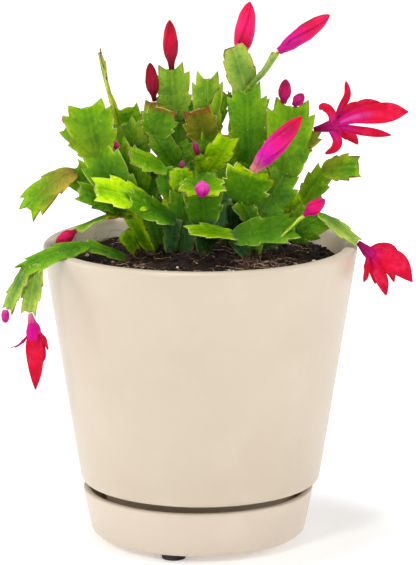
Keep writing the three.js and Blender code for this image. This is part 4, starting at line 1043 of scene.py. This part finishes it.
def bud(base, tip, width, stalk, sepals, paint, tepals=4, coil=1.2):
    """A closed bud: tepals wrapped round each other show as long spiral steps, scales sit at its foot."""
    base, tip = np.array(base, float), np.array(tip, float)
    axis = tip - base
    length = np.linalg.norm(axis)
    axis = axis / length
    near = np.array((0, 0, 1)) if abs(axis[1]) > 0.9 else np.array((0, -1, 0))
    side = unit(np.cross(near, axis))
    front = np.cross(axis, side)
    t = BUD[:, 2]
    # A narrow bud is a spindle, a wide one has a neck and a belly
    if width < 4.5:
        stops, shares = (0, 0.3, 0.7, 0.92, 1), (stalk, 0.95, 0.9, 0.55, 0.15)
    else:
        stops, shares = (0, 0.14, 0.32, 0.52, 0.8, 0.94, 1), (stalk, stalk * 1.3, 0.88, 1, 0.74, 0.4, 0.08)
    fine = np.linspace(0, 1, 60)
    form = np.interp(fine, stops, shares)
    for _ in range(4):
        form[1:-1] = (form[:-2] + form[1:-1] * 2 + form[2:]) / 4
    r = np.interp(t, fine, form / form.max()) * width / 2 * 1.05
    lap = (BUD_TURN / (2 * math.pi) * tepals + 1e-4) % 1
    lap = np.where(BUD_CORE < 0.5, 0.5, lap)
    show = np.interp(t, (0, 0.12, 0.3, 0.85, 1), (0, 0.2, 1, 1, 0.4))
    r = r * (1 + 0.075 * (lap - 0.6) * show)
    angle = BUD_TURN + coil * t + rng.uniform(0, 6)
    r = r * BUD_CORE
    at = base + np.outer(t * length - 0.3, axis)
    points = around(at, side, front, r * np.cos(angle), r * np.sin(angle))
    spot = np.stack([angle / 2, t, np.where(show > 0.3, lap, 0.5)], 1)
    pieces = [shaped("bud", bud_template, points, tone=blended(paint, t), spot=spot, marks=(0, 0, 0))]
    widths = (width * 0.3, width * 0.46, width * 0.38, width * 0.08)
    reach = PETAL[:, 1] * 0.45
    for i in range(sepals * 2):
        a = math.radians(180 * i / sepals + 30)
        away = side * math.cos(a) + front * math.sin(a)
        spread = 1.12 if i % 2 else 0.99
        line = [base + axis * length * s + away * width / 2 * k
                for s, k in ((0.03, stalk * 0.7), (0.14, stalk * 1.25), (0.26, 0.8), (0.4, spread))]
        scale = petal(line, widths, away, 0.4, -0.2, ruffle=0.05)
        brush(scale.data, "spot", np.stack([PETAL[:, 0] * 0.4, reach, np.full_like(reach, 0.6)], 1))
        brush(scale.data, "tone", blended(paint, reach))
        pieces.append(scale)
    return pieces


# Foot, shoulder, belly and tip of each bud
CRIMSON = ((96, 2, 22), (162, 0, 48), (200, 0, 50), (184, 0, 40))
PINK = ((196, 14, 100), (226, 14, 112), (232, 16, 88), (214, 0, 52))
PAINTS = {
    "bud_left_small": ((84, 2, 20), (134, 0, 42), (154, 0, 38), (140, 0, 32)),
    "bud_top": ((176, 0, 60), (214, 0, 62), (238, 26, 104), (226, 0, 62)),
    "bud_top_right": ((196, 12, 128), (206, 20, 140), (214, 8, 72), (226, 14, 84)),
    "bud_pair_tall": ((140, 0, 70), (178, 0, 92), (190, 6, 84), (150, 0, 70)),
    "bud_pair_short": ((140, 0, 70), (192, 20, 120), (190, 10, 110), (160, 0, 90)),
    "bud_front": ((226, 140, 132), (226, 20, 176), (222, 6, 112), (220, 0, 36)),
    "bud_centre_round": ((186, 10, 100), (200, 6, 136), (218, 14, 156), (240, 84, 190)),
    "bud_right_small": ((206, 20, 110), (226, 14, 130), (222, 6, 100), (210, 6, 110)),
    "bud_left_low": ((150, 0, 40), (196, 6, 62), (216, 10, 88), (176, 0, 56)),
    "budlet_left": ((200, 10, 110), (206, 20, 128), (206, 10, 110), (190, 0, 90)),
    "budlet_inner": ((200, 20, 120), (214, 30, 140), (214, 30, 140), (190, 10, 110)),
    "budlet_front": ((120, 40, 60), (150, 60, 90), (176, 70, 110), (160, 70, 100)),
    "budlet_middle": ((120, 0, 50), (150, 10, 76), (176, 40, 100), (190, 80, 120)),
    "budlet_trailing": ((206, 90, 150), (206, 40, 140), (200, 40, 150), (170, 20, 110)),
}


def blended(paint, t):
    """The colours of a bud from its foot to its tip."""
    stops = np.array([linear(c) for c in paint])
    mixed = [np.interp(t, (0.04, 0.26, 0.62, 1.0), stops[:, k]) for k in range(3)]
    return np.stack([*mixed, np.ones_like(t)], 1)


for name, (base, tip, width, colour, stalk, sepals) in BUDS.items():
    paint = PAINTS.get(name, CRIMSON if colour == "crimson" else PINK)
    dress(joined(name + "_tepals", bud(base, tip, width, stalk, sepals, paint), 28), "bud_" + colour, name)


# Flowers
def tube(line, radii, flush=0.0, tint=0.0, rise=0.0, reach=0.12, fade=0.0):
    """A tube, a filament or an anther along a line."""
    t = BUD[:, 2]
    at, ahead = trace(line, t)
    side = unit(np.cross(np.array((0.1, -1, 0.05)), ahead))
    front = np.cross(ahead, side)
    r = curve(radii, t)[:, 0] * BUD_CORE * (1 + 0.05 * np.cos(BUD_TURN * 6))
    points = around(at, side, front, r * np.cos(BUD_TURN), r * np.sin(BUD_TURN))
    spot = np.stack([BUD_TURN / 4, rise + t * reach, np.full_like(t, 3)], 1)
    marks = np.stack([flush * (1 - t * 0.6), t * 0, np.clip(tint * (1 - t * fade), 0, 1)], 1)
    return shaped("tube", bud_template, points, tone=WHITE, spot=spot, marks=marks)


for name, flower in FLOWERS.items():
    line, radii = flower["tube"], flower["tube_r"]
    opened, hanging = name == "flower_open", name == "flower_hanging"
    pieces = [tube(line, radii, tint=0.32, fade=2.0, reach=0.3) if hanging else tube(line, radii, flush=0.9)]
    for k, (path, widths, face) in enumerate(flower["petals"]):
        cream = 1.0 if opened and k in (2, 3) else 0.25
        thin = hanging and k == 3
        pieces.append(petal(path, np.array(widths) * (0.5 if thin else 1), face, cream=cream,
                            channel=0.3 if hanging else 0.22, flush=0.6 if thin else 0,
                            first=0 if opened else 0.2))
    if hanging:
        shoulder = [(-87.2, -56.4, 129.4), (-86.8, -58.8, 126), (-86.5, -59.2, 122), (-86.3, -58.6, 118.4)]
        pieces.append(petal(shoulder, (3.4, 5.6, 5, 1.4), (0, -1, 0.1), channel=-0.25, first=-1.4))
        filament = [(-90.5, -55.4, 120.5), (-93.5, -55.8, 118.2), (-97.8, -56, 116.6)]
        pieces.append(tube(filament, (0.4, 0.3, 0.25), rise=0.2))
    else:
        # Eight stamens and a longer style, out of the tube's mouth
        mouth, inner = np.array(line[-1], float), np.array(line[-2], float)
        way = unit(mouth - inner)
        for k in range(9):
            lean = unit(way + (0, 0.25, 0) + rng.normal(0, 0.1, 3))
            reach = rng.uniform(5, 9) if k else 12
            end = mouth + lean * reach + (0, 0, rng.uniform(-0.5, 0.5))
            thread = [mouth - way * 2, mouth + lean * reach * 0.5, end]
            pieces.append(tube(thread, (0.2, 0.18, 0.16), rise=0.2))
            anther = [end - lean * 0.2, end + lean * 0.4, end + lean * 0.9]
            pieces.append(tube(anther, (0.18, 0.4, 0.12), tint=1.0))
    dress(joined(name + "_petals", pieces, 40), "petal_red", name)


# Glazed pot, saucer and rubber pads, each turned from its corners: radius, height, softness
POT = rounded([(7, 10.9, 0), (41, 10.9, 0.6), (42, 8.9, 0.8), (50, 8.9, 1.4), (51.5, 32.6, 1.2),
               (63.9, 32.6, 3.2), (84.02, 161.5, 3.4), (76.3, 161.5, 3.0), (57.4, 41.2, 8), (44, 31, 6),
               (43, 16.1, 4), (7, 16.1, 0), (7, 10.9, 0)])
SAUCER = rounded([(0.4, 3.9, 0), (57.1, 3.9, 3.6), (62.2, 28.9, 1.9), (58.2, 28.9, 1.7), (54.1, 8.6, 4),
                  (0.4, 8.6, 0)])
PAD = rounded([(0.3, 0.0, 0), (6.35, 0.0, 0.7), (6.35, 3.6, 0.3), (0.3, 3.6, 0)])
PADS_FROM_AXIS = 45.4
dress(turned("pot_thrown", POT, 160, hollow=True), "pot_glaze", "pot")
dress(turned("saucer_thrown", SAUCER, 160, x=SAUCER_X), "saucer_glaze", "saucer")
for name, angle in (("pad_front", -106.5), ("pad_right", 12), ("pad_left", 132)):
    px = PADS_FROM_AXIS * math.cos(math.radians(angle))
    py = PADS_FROM_AXIS * math.sin(math.radians(angle))
    dress(turned(name + "_moulded", PAD, 48, x=SAUCER_X + px, y=py), "foot_rubber", name)

# Soil: a rough mound, then crumbs, bark, pale grains and root fibres lying on it
LEVELS = [(0.4, 16.4), (42.4, 16.4), (43.4, 31.2), (56.6, 41.6), (75.2, 151.5)]
LEVELS += [(r, 152.5) for r in np.linspace(73.8, 1.0, 64)]
soil = turned("soil_mound", LEVELS, 170)
for v in soil.data.vertices:
    x, y, z = v.co.x / MM + MIDDLE, v.co.y / MM, v.co.z / MM
    if z > SOIL_LEVEL - 0.5:
        clods = noise.fractal(Vector((x, y, 3)) * 0.16, 1.0, 2.2, 4) * 1.5
        bits = noise.noise(Vector((x, y, 9)) * 0.9) * 0.6
        inside = min(1.0, max(0.0, (75.4 - math.hypot(x, y)) / 3))
        v.co.z = (min(soil_height(x, y), 157) + (clods + bits) * (0.35 + 0.65 * inside)) * MM
brush(soil.data, "tone", opaque((38, 27, 24)))
dress(soil, "soil", "soil")


def crumb_template():
    """A lump of earth: an icosphere, made uneven."""
    clear_selection()
    bpy.ops.mesh.primitive_ico_sphere_add(subdivisions=1, radius=1)
    piece = bpy.context.object
    edit(piece)
    bpy.ops.mesh.select_all(action="SELECT")
    bpy.ops.mesh.subdivide(number_cuts=1, smoothness=0.6, fractal=0.9, fractal_along_normal=0.6, seed=4)
    bpy.ops.object.mode_set(mode="OBJECT")
    return piece


crumbs = crumb_template()
CRUMB = corners_of(crumbs)


def lump(x, y, size, stretch, tone, sunk=0.3):
    """A lump lying on the soil, turned at random and stretched."""
    turn = np.linalg.qr(rng.normal(size=(3, 3)))[0]
    points = (CRUMB * stretch) @ turn * size
    points = points * (1, 1, 0.8) + (x, y, soil_height(x, y) + size * (0.6 - sunk))
    return shaped("crumb", crumbs, points, tone=opaque(tone))


def spot_on_soil(limit=73):
    """A random place on the soil, every part of it as likely."""
    r, a = limit * math.sqrt(rng.uniform()), rng.uniform(0, 2 * math.pi)
    return r * math.cos(a), r * math.sin(a)


EARTHS = [(36, 25, 21), (50, 35, 29), (22, 16, 15), (72, 52, 42), (40, 29, 25), (96, 74, 60), (132, 108, 90)]
BARKS = [(52, 38, 31), (38, 28, 24), (84, 64, 50)]
ROOTS = [(132, 106, 86), (98, 78, 64), (176, 150, 128), (60, 48, 40)]
grains = []
for _ in range(1300):
    x, y = spot_on_soil()
    size = rng.choice((0.45, 0.7, 1.1, 1.8), p=(0.35, 0.35, 0.2, 0.1))
    tone = EARTHS[rng.choice(7, p=(0.2, 0.16, 0.22, 0.16, 0.1, 0.1, 0.06))]
    grains.append(lump(x, y, size, rng.uniform(0.6, 1.2, 3), tone))
dress(joined("soil_crumbs", grains, 40), "soil")
chips = []
for _ in range(150):
    x, y = spot_on_soil()
    tone = BARKS[rng.integers(3)]
    chips.append(lump(x, y, rng.uniform(0.6, 1.4), (2.4, 0.7, 0.4), tone, 0.1))
dress(joined("bark_chips", chips, 40), "soil")

PALE_GRAINS = [(-18, -46), (6, -52), (15, -44), (17, -48), (-30, -40), (34, -38), (-46, -24), (50, -26),
               (26, -58), (-8, -60), (40, 12), (-52, 18), (0, 40), (-30, 52), (38, 48), (58, 6), (-60, -2),
               (8, 62), (-4, -56), (-34, -50), (-56, -30), (44, -40), (60, -14), (22, -64), (-20, -62),
               (-12, -38), (30, -54), (54, -34), (66, -8), (-42, -44), (10, -66), (-64, -20), (48, 30),
               (-38, 34)]
perlite = [lump(x, y, rng.uniform(0.8, 1.3), rng.uniform(0.8, 1.1, 3), (236, 230, 222), -0.3)
           for x, y in PALE_GRAINS]
dress(joined("perlite_grains", perlite, 40), "soil")

strand_template = sleeve("strand_template", 4, 7)
STRAND = corners_of(strand_template)


def strand(line, radius, tone):
    """A root fibre, thinner towards its end."""
    t = STRAND[:, 2]
    at, ahead = trace(line, t, 0.03)
    side = unit(np.cross(ahead, (0.12, 0.2, 1)))
    front = np.cross(ahead, side)
    r = radius * (1 - 0.5 * t)
    points = around(at, side, front, STRAND[:, 0] * r, STRAND[:, 1] * r)
    return shaped("strand", strand_template, points, tone=opaque(tone))


# Root fibres, thickest at the front right and front left, the first fifteen long ones
fibres = []
for k in range(360):
    x, y = spot_on_soil(71)
    if k < 150:
        x, y = rng.normal(40, 13), rng.normal(-40, 11)
    elif k < 220:
        x, y = rng.normal(-42, 14), rng.normal(-32, 13)
    a = rng.uniform(0, 2 * math.pi)
    span = rng.uniform(5, 17) if k > 14 else rng.uniform(22, 34)
    line = []
    for s in range(5):
        px, py = x + math.cos(a) * span * s / 4, y + math.sin(a) * span * s / 4
        a += rng.normal(0, 0.35)
        if math.hypot(px, py) > 74:
            break
        line.append((px, py, soil_height(px, py) + 0.8 + rng.uniform(0, 1.6)))
    if len(line) > 2:
        tone = ROOTS[rng.integers(4)]
        fibres.append(strand(line, rng.choice((0.1, 0.15, 0.24)), tone))
# Nine more creep up the pot's inner wall, at its left and back
for k in range(9):
    a = math.radians(196 - 12 * k + rng.uniform(-5, 5))
    line = []
    for s in range(5):
        z = 151 + s * rng.uniform(1.0, 2.2)
        r = 75.0 - (161 - z) * 0.15 - 0.1
        b = a - s * rng.uniform(0.02, 0.06)
        line.append((r * math.cos(b), r * math.sin(b), z))
    fibres.append(strand(line, 0.13, (66, 46, 38)))
dress(joined("root_fibres", fibres, 60), "soil")

for template in (leaf_template, bristle_template, stem_template, bud_template, petal_template, crumbs,
                 strand_template):
    bpy.data.objects.remove(template)

# Floor, light and camera
clear_selection()
bpy.ops.mesh.primitive_grid_add(x_subdivisions=24, y_subdivisions=24, size=12, location=(0, 0, 0))
floor = bpy.context.object
floor.name = "floor"
pale = Finish("floor_paper")
here = pale.place()
paper = pale.noise(here, 3, 2)
away = pale.node("ShaderNodeVectorMath", {"operation": "LENGTH"}, {0: here}, "Value").between(0.1, 1.0)
floor.data.materials.append(pale.set(
    Base_Color=pale.mix((0.9, 0.9, 0.9), (0.93, 0.93, 0.93), paper), Roughness=0.9, Emission_Strength=1.0,
    Emission_Color=pale.mix((0.3, 0.3, 0.3), (0.8, 0.8, 0.8), away)))

# The backdrop looks white and lights the plant less than that
AMBIENT = 0.38
world = bpy.context.scene.world or bpy.data.worlds.new("studio")
bpy.context.scene.world = world
world.use_nodes = True
sky = world.node_tree
backing = sky.nodes["Background"]
backing.inputs[0].default_value = (1, 1, 1, 1)
seen = sky.nodes.new("ShaderNodeLightPath")
power = sky.nodes.new("ShaderNodeMapRange")
power.inputs["To Min"].default_value = AMBIENT
power.inputs["To Max"].default_value = 1.0
sky.links.new(seen.outputs["Is Camera Ray"], power.inputs[0])
sky.links.new(power.outputs[0], backing.inputs[1])


def softbox(name, place, aim, size, watts):
    """A round lamp in metres and watts, turned to its aim."""
    light = bpy.data.lights.new(name, "AREA")
    light.shape, light.size, light.energy = "DISK", size, watts
    lamp = bpy.data.objects.new(name, light)
    lamp.location = place
    lamp.rotation_euler = (Vector(aim) - Vector(place)).to_track_quat("-Z", "Y").to_euler()
    bpy.context.collection.objects.link(lamp)


softbox("overhead", (-0.2, -0.1, 1.7), (0, 0, 0.2), 0.45, 12)
softbox("key", (-1.0, -1.7, 1.4), (0, 0, 0.18), 0.45, 14.5)
softbox("front_box", (0.8, -1.9, 1.2), (0, 0, 0.18), 0.5, 4)
softbox("left_box", (-1.5, 0.2, 0.7), (0, 0, 0.15), 0.8, 7)
softbox("right_box", (1.5, -0.3, 0.7), (0, 0, 0.15), 0.9, 8)

# Camera as it fits the photo: pixels high, focal length and the pot's axis in pixels, tilt down in radians
TALL, FOCAL, HALF_WIDE, AXIS_AT, TILT, FILM = 565, 3095.3, 208, 200.3, 0.207, 36
camera = bpy.data.objects.new("camera", bpy.data.cameras.new("camera"))
bpy.context.collection.objects.link(camera)
camera.location = (-MIDDLE * MM, -1.6136, 0.4782)
camera.rotation_euler = (math.pi / 2 - TILT, 0, 0)
camera.data.lens = FILM * FOCAL / TALL
camera.data.sensor_width = FILM
camera.data.shift_x = (HALF_WIDE - AXIS_AT) / TALL
camera.data.clip_start, camera.data.clip_end = 0.05, 20
bpy.context.scene.camera = camera
bpy.context.scene.view_settings.view_transform = "Standard"
